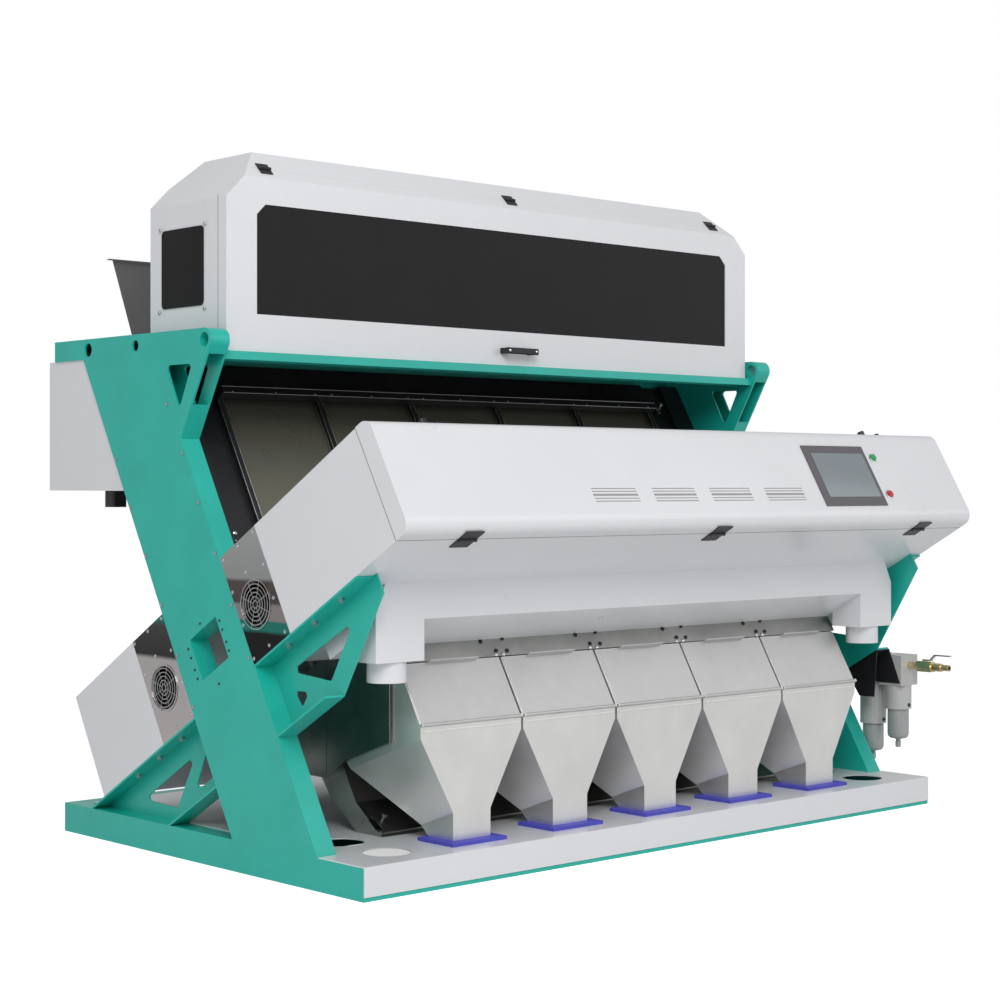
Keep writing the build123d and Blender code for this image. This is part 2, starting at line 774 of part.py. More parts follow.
keep(window_panes, "window_panes")

# Front optical box: a shell open to the front, with recessed seats for the side strips

recess_x = (OUTER_X - SHEET, OUTER_X)

with BuildPart() as front_box_shell:
    lean_slab((-OUTER_X, OUTER_X), (BOX_FRONT_U, COLUMN_FRONT_U), (BOX_BOTTOM_V, BOX_TOP_V))
    lean_slab(
        (-OUTER_X + SHEET, OUTER_X - SHEET),
        (BOX_FRONT_U, STRIP_FRONT_U - SHEET),
        (BOX_BOTTOM_V + SHEET, BOX_TOP_V - SHEET),
        mode=Mode.SUBTRACT,
    )
    lean_slab(
        (-OUTER_X + 2 * SHEET, OUTER_X - 2 * SHEET),
        (STRIP_FRONT_U - SHEET, COLUMN_FRONT_U - SHEET),
        (BOX_BOTTOM_V + SHEET, BOX_TOP_V - SHEET),
        mode=Mode.SUBTRACT,
    )
    for sx in both_sides(recess_x):
        lean_slab(sx, (STRIP_FRONT_U, COLUMN_FRONT_U), (BOX_BOTTOM_V, BOX_TOP_V), mode=Mode.SUBTRACT)
    lean_rod((-OUTER_X, OUTER_X), FRONT_FAN_U, FAN_V, FAN_BORE_R, bore, FAN_SIDES, mode=Mode.SUBTRACT)
    lean_slab(
        (-VIEW_HALF_X, VIEW_HALF_X),
        (COLUMN_FRONT_U - SHEET, COLUMN_FRONT_U),
        VIEW_V,
        mode=Mode.SUBTRACT,
    )
    for latch_x in (-LATCH_X, LATCH_X):
        latch_y, latch_z = yz(LATCH_U, BOX_TOP_V)
        with BuildSketch(Plane(origin=(latch_x, latch_y, latch_z), x_dir=(1, 0, 0), z_dir=(0, SIN, COS))):
            Circle(PIN_R * 2 + FIT)
        extrude(amount=-SHEET, mode=Mode.SUBTRACT)
keep(front_box_shell, "front_box_shell")

# Rear optical box

with BuildPart() as rear_box_shell:
    lean_slab((-OUTER_X, OUTER_X), (COLUMN_REAR_U, REAR_BOX_U), (BOX_BOTTOM_V, BOX_TOP_V))
    lean_slab(
        (-OUTER_X + SHEET, OUTER_X - SHEET),
        (STRIP_REAR_U + SHEET, REAR_BOX_U - SHEET),
        (BOX_BOTTOM_V + SHEET, BOX_TOP_V - SHEET),
        mode=Mode.SUBTRACT,
    )
    lean_slab(
        (-OUTER_X + 2 * SHEET, OUTER_X - 2 * SHEET),
        (COLUMN_REAR_U + SHEET, STRIP_REAR_U + SHEET),
        (BOX_BOTTOM_V + SHEET, BOX_TOP_V - SHEET),
        mode=Mode.SUBTRACT,
    )
    for sx in both_sides(recess_x):
        lean_slab(sx, (COLUMN_REAR_U, STRIP_REAR_U), (BOX_BOTTOM_V, BOX_TOP_V), mode=Mode.SUBTRACT)
    lean_rod((-OUTER_X, OUTER_X), REAR_FAN_U, FAN_V, FAN_BORE_R, bore, FAN_SIDES, mode=Mode.SUBTRACT)
    lean_slab(
        (-VIEW_HALF_X, VIEW_HALF_X),
        (COLUMN_REAR_U, COLUMN_REAR_U + SHEET),
        VIEW_V,
        mode=Mode.SUBTRACT,
    )
keep(rear_box_shell, "rear_box_shell")

# Stainless strips at the ends of both boxes, bored for the fans

with BuildPart() as side_strips:
    left_strip_x = (-OUTER_X, -OUTER_X + SHEET)
    lean_slab(left_strip_x, (STRIP_FRONT_U, COLUMN_FRONT_U), (BOX_BOTTOM_V, BOX_TOP_V))
    lean_slab(left_strip_x, (COLUMN_REAR_U, STRIP_REAR_U), (BOX_BOTTOM_V, BOX_TOP_V))
    for fan_u in (FRONT_FAN_U, REAR_FAN_U):
        lean_rod(left_strip_x, fan_u, FAN_V, FAN_BORE_R, bore, FAN_SIDES, mode=Mode.SUBTRACT)
    mirror(about=Plane.YZ)
keep(side_strips, "side_strips")

# Fan guards: rings and spokes over each bore

with BuildPart() as fan_guards:
    for fan_u in (FRONT_FAN_U, REAR_FAN_U):
        with BuildSketch(lean_plane(-OUTER_X - GUARD_WIRE)):
            with Locations((fan_u, FAN_V)):
                for ring_r, sides in ((GUARD_R, 2 * PIN_SIDES), (GUARD_R * 0.55, KNOB_SIDES)):
                    disc(ring_r, sides)
                    disc(ring_r - GUARD_WIRE, sides, mode=Mode.SUBTRACT)
                with Locations((0, 0)):
                    disc(3 * GUARD_WIRE, PIN_SIDES)
                for spoke_angle in (45, 135):
                    Rectangle(2 * GUARD_R - GUARD_WIRE, GUARD_WIRE, rotation=spoke_angle)
        extrude(amount=GUARD_WIRE)
    mirror(about=Plane.YZ)
keep(fan_guards, "fan_guards")

# Fan housings inside the left end: square frames with a motor boss on four arms

fan_x = (-OUTER_X + 2 * SHEET, -OUTER_X + 2 * SHEET + FAN_DEPTH)
boss_x = (fan_x[1] - 8.0, fan_x[1])

with BuildPart() as fan_housings:
    for fan_u in (FRONT_FAN_U, REAR_FAN_U):
        half = FAN_FRAME / 2
        lean_slab(fan_x, (fan_u - half, fan_u + half), (FAN_V - half, FAN_V + half))
        lean_rod(fan_x, fan_u, FAN_V, FAN_BORE_R, bore, FAN_SIDES, mode=Mode.SUBTRACT)
        lean_slab(boss_x, (fan_u - half, fan_u + half), (FAN_V - 4, FAN_V + 4))
        lean_slab(boss_x, (fan_u - 4, fan_u + 4), (FAN_V - half, FAN_V + half))
        lean_rod(boss_x, fan_u, FAN_V, FAN_HUB_R)
        lean_rod(boss_x, fan_u, FAN_V, FAN_SHAFT_R + FIT, bore, PIN_SIDES, mode=Mode.SUBTRACT)
keep(fan_housings, "fan_housings")


def fan_rotor(fan_u):
    """Hub with pitched blades on a stub shaft that turns in the motor boss."""
    hub_x = (fan_x[0] + 4.0, boss_x[0] - 2.0)
    middle = (hub_x[0] + hub_x[1]) / 2
    with BuildPart() as rotor:
        lean_rod(hub_x, fan_u, FAN_V, FAN_HUB_R - 2.0)
        lean_rod((hub_x[1], boss_x[1] - 1.0), fan_u, FAN_V, FAN_SHAFT_R, sides=0)
        for blade in range(FAN_BLADES):
            turn = radians(360.0 / FAN_BLADES * blade)
            radial = (0, cos(turn) * COS + sin(turn) * SIN, sin(turn) * COS - cos(turn) * SIN)
            root_y, root_z = yz(fan_u, FAN_V)
            start = FAN_HUB_R - 4.0
            origin = (middle, root_y + radial[1] * start, root_z + radial[2] * start)
            with BuildSketch(Plane(origin=origin, x_dir=(1, 0, 0), z_dir=radial)):
                Rectangle(22.0, 2.0, rotation=35)
            extrude(amount=FAN_BORE_R - 3.0 - start)
    return rotor


left_front_fan = fan_rotor(FRONT_FAN_U)
keep(left_front_fan, "left_front_fan")
left_rear_fan = fan_rotor(REAR_FAN_U)
keep(left_rear_fan, "left_rear_fan")

# Front cover: a deep tray with rounded front edges, pierced for the panel and the vents

cover_u0 = BOX_FRONT_U - COVER_DEPTH
cover_back_u = BOX_FRONT_U - SMALL_GAP
cover_top_v = BOX_TOP_V + 2.0
face_u = (cover_u0, cover_u0 + SHEET)


def front_edges(block):
    """The two long edges of a leaning block's front face."""
    front = block.faces().sort_by(Axis((0, 0, 0), (0, COS, -SIN)))[0]
    return front.edges().filter_by(Axis.X)


with BuildPart() as cover_hollow:
    lean_slab(
        (-OUTER_X + SHEET, OUTER_X - SHEET),
        (cover_u0 + SHEET, cover_back_u),
        (BOX_BOTTOM_V + SHEET, cover_top_v - SHEET),
    )
    fillet(front_edges(cover_hollow), COVER_R - SHEET)

with BuildPart() as front_cover:
    lean_slab((-OUTER_X, OUTER_X), (cover_u0, cover_back_u), (BOX_BOTTOM_V, cover_top_v))
    fillet(front_edges(front_cover), COVER_R)
    add(cover_hollow.part, mode=Mode.SUBTRACT)
    lean_slab(
        (SCREEN_X[0] + BEZEL, SCREEN_X[1] - BEZEL),
        face_u,
        (SCREEN_V[0] + BEZEL, SCREEN_V[1] - BEZEL),
        mode=Mode.SUBTRACT,
    )
    for vent_x in VENT_X:
        for slot_v, slot_h in VENT_SLOTS:
            lean_slab(
                (vent_x - VENT_W, vent_x + VENT_W),
                face_u,
                (VENT_V + slot_v - slot_h / 2, VENT_V + slot_v + slot_h / 2),
                mode=Mode.SUBTRACT,
            )
    for button_v in (START_V, STOP_V):
        button_y, button_z = yz(cover_u0, button_v)
        with BuildSketch(Plane(origin=(BUTTON_X, button_y, button_z), x_dir=(1, 0, 0), z_dir=(0, -COS, SIN))):
            Circle(BUTTON_R + FIT)
        extrude(amount=-SHEET, mode=Mode.SUBTRACT)
keep(front_cover, "front_cover")

# Touch screen: a bezel on the cover's face and a body behind it

with BuildPart() as touch_screen:
    lean_slab(SCREEN_X, (cover_u0 - BEZEL_T, cover_u0), SCREEN_V)
    lean_slab(
        (SCREEN_X[0] + BEZEL + SMALL_GAP, SCREEN_X[1] - BEZEL - SMALL_GAP),
        (cover_u0, cover_u0 + SCREEN_BODY),
        (SCREEN_V[0] + BEZEL + SMALL_GAP, SCREEN_V[1] - BEZEL - SMALL_GAP),
    )
keep(touch_screen, "touch_screen")


def push_button(button_v):
    """Round plunger that slides in its hole in the cover, with a wider head inside."""
    with BuildPart() as button:
        button_y, button_z = yz(cover_u0 - BUTTON_PROUD, button_v)
        with BuildSketch(Plane(origin=(BUTTON_X, button_y, button_z), x_dir=(1, 0, 0), z_dir=(0, COS, -SIN))):
            disc(BUTTON_R, 2 * KNOB_SIDES)
        extrude(amount=BUTTON_PROUD + SHEET + SMALL_GAP)
        head_y, head_z = yz(cover_u0 + SHEET + SMALL_GAP, button_v)
        with BuildSketch(Plane(origin=(BUTTON_X, head_y, head_z), x_dir=(1, 0, 0), z_dir=(0, COS, -SIN))):
            disc(BUTTON_R + 3.0)
        extrude(amount=6.0)
    return button


start_button = push_button(START_V)
keep(start_button, "start_button")
stop_button = push_button(STOP_V)
keep(stop_button, "stop_button")


def cover_latch(latch_x):
    """Knob on the box top whose flat lever reaches over the cover's rear edge."""
    with BuildPart() as latch:
        for start_v, radius, length in (
            (BOX_TOP_V + SMALL_GAP, LATCH_R, LATCH_KNOB),
            (BOX_TOP_V - 12.0, PIN_R * 2, 14.0),
        ):
            with BuildSketch(Plane(origin=(latch_x, *yz(LATCH_U, start_v)), x_dir=(1, 0, 0), z_dir=(0, SIN, COS))):
                disc(radius)
            extrude(amount=length)
        lean_slab(
            (latch_x - 8.0, latch_x + 8.0),
            (LATCH_U - LATCH_LEVER, LATCH_U),
            (cover_top_v + 1.0, cover_top_v + 6.0),
        )
    return latch


left_latch = cover_latch(-LATCH_X)
keep(left_latch, "left_latch")
right_latch = cover_latch(LATCH_X)
keep(right_latch, "right_latch")

# Hinges: s runs along the surface towards positive leaves and n stands off it


def cover_hinge_plane(x):
    """Plane at x on the parting line under the cover; s to the cover, n downwards."""
    return Plane(origin=(x, *yz(BOX_FRONT_U, BOX_BOTTOM_V)), x_dir=(0, -COS, SIN), z_dir=(1, 0, 0))


def hood_hinge_plane(x):
    """Plane at x on the hood's bevel; s up the bevel, n away from it."""
    return Plane(origin=(x, *hinge_mid), x_dir=(0, sin(radians(45)), sin(radians(45))), z_dir=(1, 0, 0))


def hinge_piece(plane, size, x, side, middle_knuckle):
    """One leaf with its knuckles; the fixed leaf carries the pin in its middle knuckle."""
    width, leaf_w = size
    half = width / 2
    knuckle_split = width / 6
    with BuildSketch(plane(x - half)) as leaf:
        with Locations((side * (KNUCKLE_R / 2 + leaf_w / 2), LEAF_T / 2)):
            Rectangle(leaf_w, LEAF_T)
    extrude(leaf.sketch, amount=width)
    if middle_knuckle:
        spans = ((-knuckle_split + SMALL_GAP, knuckle_split - SMALL_GAP),)
    else:
        spans = ((-half, -knuckle_split), (knuckle_split, half))
    other = ((-half, -knuckle_split), (knuckle_split, half))
    if not middle_knuckle:
        other = ((-knuckle_split, knuckle_split),)
    for low, high in other:
        with BuildSketch(plane(x + low - SMALL_GAP)) as room:
            with Locations((0, KNUCKLE_R)):
                bore(KNUCKLE_R + SMALL_GAP, PIN_SIDES)
        extrude(room.sketch, amount=high - low + 2 * SMALL_GAP, mode=Mode.SUBTRACT)
    for low, high in spans:
        with BuildSketch(plane(x + low)) as knuckle:
            with Locations((0, KNUCKLE_R)):
                disc(KNUCKLE_R, PIN_SIDES)
        extrude(knuckle.sketch, amount=high - low)
        if not middle_knuckle:
            with BuildSketch(plane(x + low)) as pin_hole:
                with Locations((0, KNUCKLE_R)):
                    bore(PIN_R + FIT, PIN_SIDES)
            extrude(pin_hole.sketch, amount=high - low, mode=Mode.SUBTRACT)
    if middle_knuckle:
        with BuildSketch(plane(x - half)) as pin:
            with Locations((0, KNUCKLE_R)):
                disc(PIN_R, 0)
        extrude(pin.sketch, amount=width)


with BuildPart() as hinge_leaves:
    for hinge_x in (-HINGE_X, 0, HINGE_X):
        hinge_piece(cover_hinge_plane, COVER_HINGE, hinge_x, -1, True)
        hinge_piece(hood_hinge_plane, HOOD_HINGE, hinge_x, 1, True)
keep(hinge_leaves, "hinge_leaves")

with BuildPart() as cover_hinges:
    for hinge_x in (-HINGE_X, 0, HINGE_X):
        hinge_piece(cover_hinge_plane, COVER_HINGE, hinge_x, 1, False)
keep(cover_hinges, "cover_hinges")

# Hood fittings: the bridge handle and the door's hinge leaves

with BuildPart() as hood_fittings:
    for hinge_x in (-HINGE_X, 0, HINGE_X):
        hinge_piece(hood_hinge_plane, HOOD_HINGE, hinge_x, -1, False)
    for post_x in (-HANDLE_L / 2 + 9.0, HANDLE_L / 2 - 9.0):
        slab(
            (post_x - 9.0, post_x + 9.0),
            (HOOD_FRONT_Y - 28.0, HOOD_FRONT_Y),
            (HANDLE_Z - 9.0, HANDLE_Z + 9.0),
        )
    slab(
        (-HANDLE_L / 2, HANDLE_L / 2),
        (HOOD_FRONT_Y - 38.0, HOOD_FRONT_Y - 28.0),
        (HANDLE_Z - 10.0, HANDLE_Z + 10.0),
    )
    bar_edges = hood_fittings.edges().filter_by(Axis.X).filter_by_position(
        Axis.Y, HOOD_FRONT_Y - 39.0, HOOD_FRONT_Y - 37.0
    )
    chamfer(bar_edges, 3.0)
keep(hood_fittings, "hood_fittings")

# Chutes: shallow channels, their frames and the panels above the clamp bar

with BuildPart() as chute_slides:
    for cx in CHUTE_X:
        half = CHUTE_W / 2
        lean_slab((cx - half, cx + half), (CHUTE_U - CHUTE_LIP, CHUTE_U), CHUTE_V)
        lean_slab(
            (cx - half + SHEET, cx + half - SHEET),
            (CHUTE_U - CHUTE_LIP, CHUTE_U - SHEET),
            CHUTE_V,
            mode=Mode.SUBTRACT,
        )
keep(chute_slides, "chute_slides")


def clamp_plane(u):
    """Plane across the clamp lever's pin at u, facing away from the chutes."""
    return Plane(origin=(CLAMP_X, *yz(u, CLAMP_PIN_V)), x_dir=(1, 0, 0), z_dir=(0, -COS, SIN))


with BuildPart() as chute_frames:
    for bar_v in CROSSBAR_V:
        lean_slab((-INNER_X, INNER_X), (CHUTE_U, CHUTE_U + CROSSBAR), (bar_v, bar_v + CROSSBAR))
    for dx in DIVIDER_X:
        half = DIVIDER_W / 2
        lean_slab((dx - half, dx + half), (DIVIDER_U, CHUTE_U), (CHUTE_V[0], FRONT_PANEL_TOP_V))
    end_x = DIVIDER_X[-1] + DIVIDER_W / 2
    lean_slab((-end_x, end_x), (DIVIDER_U - CLAMP_DEPTH, DIVIDER_U), CLAMP_V)
    lean_slab((-end_x, end_x), (DIVIDER_U - SHEET, DIVIDER_U), (CLAMP_V[1], FRONT_PANEL_TOP_V))
    # End plates beside the columns, and the deeper strips between them and the dividers
    for sx in both_sides((END_PLATE_X, INNER_X)):
        lean_slab(sx, (DIVIDER_U - SHEET, DIVIDER_U), (CHUTE_V[0], FRONT_PANEL_TOP_V))
    for sx in both_sides((END_PLATE_X, END_PLATE_X + SHEET)):
        lean_slab(sx, (DIVIDER_U, CHUTE_U), (CHUTE_V[0], FRONT_PANEL_TOP_V))
    for sx in both_sides((DIVIDER_X[-1], END_PLATE_X + SHEET)):
        lean_slab(sx, (CHUTE_U - SHEET, CHUTE_U), (CHUTE_V[0], FRONT_PANEL_TOP_V))
    # Boss and pin of the clamp lever
    with BuildSketch(clamp_plane(CHUTE_U - SHEET)):
        disc(CLAMP_R)
    extrude(amount=CLAMP_BOSS)
    with BuildSketch(clamp_plane(CHUTE_U - SHEET)):
        disc(FAN_SHAFT_R, 0)
    extrude(amount=CLAMP_BOSS + 10.0)
keep(chute_frames, "chute_frames")

lever_u = CHUTE_U - SHEET - CLAMP_BOSS - SMALL_GAP

with BuildPart() as clamp_lever:
    with BuildSketch(clamp_plane(lever_u)):
        disc(CLAMP_R)
        with Locations(Rotation(0, 0, 45) * Location((CLAMP_LEVER / 2, 0))):
            Rectangle(CLAMP_LEVER, 7.0)
        bore(FAN_SHAFT_R + FIT, PIN_SIDES, mode=Mode.SUBTRACT)
    extrude(amount=7.0)
    with BuildSketch(clamp_plane(lever_u + 2.0)):
        with Locations(Rotation(0, 0, 45) * Location((CLAMP_LEVER, 0))):
            disc(7.0)
    extrude(amount=11.0)
keep(clamp_lever, "clamp_lever")

# Feeding: hopper behind the hood, vibrating trays below it, and their drives

with BuildPart() as feed_hopper:
    feed_profile = (
        (HOOD_REAR_Y, FEED_OUTLET_Z),
        (HOOD_REAR_Y, FEED_FRONT_TOP),
        FEED_REAR_TOP,
        FEED_REAR_FOOT,
    )
    prism(feed_profile, (-FEED_X, FEED_X))
    top_face = feed_hopper.faces().sort_by(Axis.Z)[-1]
    bottom_face = feed_hopper.faces().sort_by(Axis.Z)[0]
    offset(amount=-SHEET, openings=[top_face, bottom_face], kind=Kind.INTERSECTION)
    for sx in both_sides((FEED_X - SHEET, FEED_X)):
        slab(sx, (REAR_BEAM_Y[0], FEED_REAR_FOOT[0] - 60.0), (HOOD_BOTTOM, FEED_OUTLET_Z))
    rim = (
        (HOOD_REAR_Y, FEED_FRONT_TOP),
        FEED_REAR_TOP,
        (FEED_REAR_TOP[0], FEED_REAR_TOP[1] + SHEET),
        (HOOD_REAR_Y, FEED_FRONT_TOP + SHEET),
    )
    for sx in both_sides((FEED_X - SHEET, FEED_X + FEED_FLANGE)):
        prism(rim, sx)
    rim_slope = (FEED_REAR_TOP[1] - FEED_FRONT_TOP) / (FEED_REAR_TOP[0] - HOOD_REAR_Y)
    rear_rim = (
        (FEED_REAR_TOP[0] - 2 * SHEET, FEED_REAR_TOP[1] - 2 * SHEET * rim_slope),
        FEED_REAR_TOP,
        (FEED_REAR_TOP[0] + FEED_FLANGE, FEED_REAR_TOP[1]),
        (FEED_REAR_TOP[0] + FEED_FLANGE, FEED_REAR_TOP[1] + SHEET),
        (FEED_REAR_TOP[0] - 2 * SHEET, FEED_REAR_TOP[1] + SHEET),
    )
    prism(rear_rim, (-FEED_X - FEED_FLANGE, FEED_X + FEED_FLANGE))
keep(feed_hopper, "feed_hopper")

with BuildPart() as feeder_trays:
    for cx in CHUTE_X:
        half = TRAY_W / 2
        slab((cx - half, cx + half), TRAY_Y, (TRAY_Z, TRAY_Z + TRAY_WALL))
        slab(
            (cx - half + SHEET, cx + half - SHEET),
            (TRAY_Y[0], TRAY_Y[1] - SHEET),
            (TRAY_Z + SHEET, TRAY_Z + TRAY_WALL),
            mode=Mode.SUBTRACT,
        )
keep(feeder_trays, "feeder_trays")

with BuildPart() as vibrators:
    for cx in CHUTE_X:
        half = DRIVE_W / 2
        slab((cx - half, cx + half), DRIVE_Y, (HOOD_BOTTOM, HOOD_BOTTOM + 24.0))
        for spring_y in (DRIVE_Y[0] + 8.0, DRIVE_Y[1] - 8.0):
            slab(
                (cx - half, cx + half),
                (spring_y - 2.0, spring_y + 2.0),
                (HOOD_BOTTOM + 24.0, TRAY_Z - SMALL_GAP),
            )
        slab((cx - 30.0, cx + 30.0), (DRIVE_Y[0] + 40.0, DRIVE_Y[1] - 40.0), (HOOD_BOTTOM + 24.0, TRAY_Z - 4.0))
keep(vibrators, "vibrators")

# Outlet hoppers: vertical front plate, leaning door face above its crease, sloping floor

crease_u = FRONT_Y * COS - CREASE_Z * SIN
crease_v = FRONT_Y * SIN + CREASE_Z * COS
face_top_v = crease_v + (HOPPER_TOP - CREASE_Z) / COS
under_box_v = BOX_BOTTOM_V - 5.0
hopper_mouth_rear = FRONT_Y + MOUTH_D


def floor_z(y):
    """Height of the hopper floor's outer face at y."""
    return MOUTH_Z + (y - hopper_mouth_rear) * FLOOR_RISE


hopper_side = (
    (FRONT_Y, MOUTH_Z),
    (FRONT_Y, CREASE_Z),
    yz(crease_u, face_top_v),
    ((under_box_v - HOPPER_TOP * COS) / SIN, HOPPER_TOP),
    (HOPPER_REAR_Y, (under_box_v - HOPPER_REAR_Y * SIN) / COS),
    (HOPPER_REAR_Y, floor_z(HOPPER_REAR_Y)),
    (hopper_mouth_rear, MOUTH_Z),
)
hinge_stand = 5.5
door_axis = (crease_u - hinge_stand, crease_v + 4.0)


def fold_plane(cx, side, inset):
    """Plane of the folded side between the upper wall and the spout, facing outwards."""
    wall = cx + side * (HOPPER_W / 2 - inset)
    spout = cx + side * (MOUTH_W / 2 - inset)
    corner = Vector(wall, FRONT_Y, FOLD_FRONT_Z)
    back = Vector(wall, FOLD_REAR[0], FOLD_REAR[1])
    low = Vector(spout, FRONT_Y, SPOUT_Z)
    normal = (back - corner).cross(low - corner).normalized()
    if normal.Z > 0:
        normal = -normal
    return Plane(origin=corner, z_dir=normal)


def hopper_body(cx, inset):
    """Hopper volume drawn in by inset, run out through its mouth and its top."""
    run_out = 20.0 if inset else 0.0
    with BuildPart() as upper:
        with BuildSketch(side_plane(cx - HOPPER_W / 2 + inset)) as profile:
            with BuildLine():
                Polyline(*hopper_side, close=True)
            make_face()
            if inset:
                offset(amount=-inset, kind=Kind.INTERSECTION)
        extrude(profile.sketch, amount=HOPPER_W - 2 * inset)
        for side in (-1, 1):
            split(bisect_by=fold_plane(cx, side, inset), keep=Keep.BOTTOM)
    with BuildPart() as body:
        add(upper.part)
        with BuildSketch(side_plane(cx - MOUTH_W / 2 + inset)) as profile:
            with BuildLine():
                Polyline(*hopper_side, close=True)
            make_face()
            if inset:
                offset(amount=-inset, kind=Kind.INTERSECTION)
        extrude(profile.sketch, amount=MOUTH_W - 2 * inset)
        if run_out:
            half_mouth = MOUTH_W / 2 - inset
            slab((cx - half_mouth, cx + half_mouth), mouth_y, (MOUTH_Z - run_out, MOUTH_Z + inset))
            half_top = HOPPER_W / 2 - inset
            prism(
                (
                    yz(crease_u + 2 * inset, face_top_v - inset / COS),
                    yz(crease_u + 2 * inset, face_top_v + run_out),
                    (HOPPER_REAR_Y - inset, HOPPER_TOP + run_out),
                    (HOPPER_REAR_Y - inset, hopper_side[4][1] - 2 * inset),
                    (hopper_side[3][0], HOPPER_TOP - 2 * inset),
                ),
                (cx - half_top, cx + half_top),
            )
    return body.part


def outlet_hopper(cx):
    """Sheet hopper with an open top, an open mouth, a door opening and its hinge pin."""
    outside = hopper_body(cx, 0.0)
    inside = hopper_body(cx, SHEET)
    rim = 14.0
    half = HOPPER_W / 2
    with BuildPart() as hopper:
        add(outside)
        add(inside, mode=Mode.SUBTRACT)
        lean_slab(
            (cx - half + rim, cx + half - rim),
            (crease_u, crease_u + SHEET),
            (crease_v + rim, face_top_v - rim),
            mode=Mode.SUBTRACT,
        )
        # Hinge pin between two lugs at the ends of the door
        for lug_x in ((cx - half, cx - DOOR_W / 2 - SMALL_GAP), (cx + DOOR_W / 2 + SMALL_GAP, cx + half)):
            lean_slab(
                lug_x,
                (door_axis[0] - KNUCKLE_R, crease_u + SHEET / 2),
                (door_axis[1] - KNUCKLE_R, door_axis[1] + KNUCKLE_R),
            )
        lean_rod((cx - half, cx + half), *door_axis, PIN_R, sides=0)
    return hopper


def outlet_door(cx):
    """Inspection door on a rolled hinge edge, with a folded lip along its top."""
    half = DOOR_W / 2
    plate_u = (crease_u - SHEET - SMALL_GAP, crease_u - SMALL_GAP)
    with BuildPart() as door:
        lean_slab((cx - half, cx + half), plate_u, (door_axis[1], face_top_v - 3.0))
        lean_slab(
            (cx - half / 2, cx + half / 2),
            (plate_u[0] - DOOR_LIP, plate_u[1]),
            (face_top_v - 3.0 - SHEET, face_top_v - 3.0),
        )
        lean_rod((cx - half, cx + half), *door_axis, KNUCKLE_R)
        lean_rod((cx - half, cx + half), *door_axis, PIN_R + FIT, bore, PIN_SIDES, mode=Mode.SUBTRACT)
    return door


for number, cx in enumerate(CHUTE_X, start=1):
    keep(outlet_hopper(cx), f"outlet_hopper_{number}")
    keep(outlet_door(cx), f"outlet_door_{number}")

# Pads under the hopper mouths

with BuildPart() as outlet_pads:
    for cx in CHUTE_X:
        slab((cx - PAD_W / 2, cx + PAD_W / 2), (PAD_FRONT_Y, PAD_FRONT_Y + PAD_D), (BASE_H, MOUTH_Z))
        slab(
            (cx - MOUTH_W / 2 + SHEET, cx + MOUTH_W / 2 - SHEET),
            mouth_y,
            (BASE_H, MOUTH_Z),
            mode=Mode.SUBTRACT,
        )
keep(outlet_pads, "outlet_pads")

# Dust duct: a box under the front box with two legs that end in round spigots

duct_side = (
    (DUCT_FRONT_Y, (BOX_BOTTOM_V - DUCT_FRONT_Y * SIN) / COS),
    (DUCT_FRONT_Y, (DUCT_V - DUCT_FRONT_Y * SIN) / COS),
    yz(DUCT_REAR_U, DUCT_V),
    yz(DUCT_REAR_U, BOX_BOTTOM_V),
)
leg_top_z = duct_side[1][1]
duct_corner_z = duct_side[0][1]

def duct_box(inset):
    """Box of the duct with its sloping ends, drawn in by inset."""
    half = DUCT_X - inset
    top = DUCT_TOP_X - inset
    with BuildPart() as body:
        with BuildSketch(side_plane(-DUCT_X)):
            with BuildLine():
                Polyline(*duct_side, close=True)
            make_face()
            if inset:
                offset(amount=-inset, kind=Kind.INTERSECTION)
        extrude(amount=2 * DUCT_X)
        with BuildSketch(Plane(origin=(0, -OUTER_X, 0), x_dir=(1, 0, 0), z_dir=(0, -1, 0))):
            with BuildLine():
                Polyline(
                    (-half, LEG_Z),
                    (-half, DUCT_SHOULDER),
                    (-top, duct_corner_z),
                    (top, duct_corner_z),
                    (half, DUCT_SHOULDER),
                    (half, LEG_Z),
                    close=True,
                )
            make_face()
        extrude(amount=-2 * OUTER_X, mode=Mode.INTERSECT)
    return body.part


duct_outer = duct_box(0.0)
duct_inner = duct_box(SHEET)

with BuildPart() as dust_duct:
    add(duct_outer)
    for sx in both_sides((LEG_INNER_X, DUCT_X)):
        slab(sx, (DUCT_FRONT_Y, LEG_REAR_Y), (LEG_Z, leg_top_z))
    for spigot_x in (-SPIGOT_X, SPIGOT_X):
        upright_rod(spigot_x, SPIGOT_Y, (SPIGOT_Z, LEG_Z), SPIGOT_R)
    # Hollow inside, open through the spigots and the suction slot at the rear
    add(duct_inner, mode=Mode.SUBTRACT)
    for sx in both_sides((LEG_INNER_X + SHEET, DUCT_X - SHEET)):
        slab(
            sx,
            (DUCT_FRONT_Y + SHEET, LEG_REAR_Y - SHEET),
            (LEG_Z + SHEET, leg_top_z),
            mode=Mode.SUBTRACT,
        )
    for spigot_x in (-SPIGOT_X, SPIGOT_X):
        upright_rod(spigot_x, SPIGOT_Y, (SPIGOT_Z, LEG_Z + SHEET), SPIGOT_R - SHEET, mode=Mode.SUBTRACT)
    lean_slab(
        (-VIEW_HALF_X, VIEW_HALF_X),
        (DUCT_REAR_U - SHEET, DUCT_REAR_U),
        (DUCT_V + 20.0, DUCT_V + 50.0),
        mode=Mode.SUBTRACT,
    )
keep(dust_duct, "dust_duct")

# Chamber panels: end walls beside the hoppers and the strip above their doors

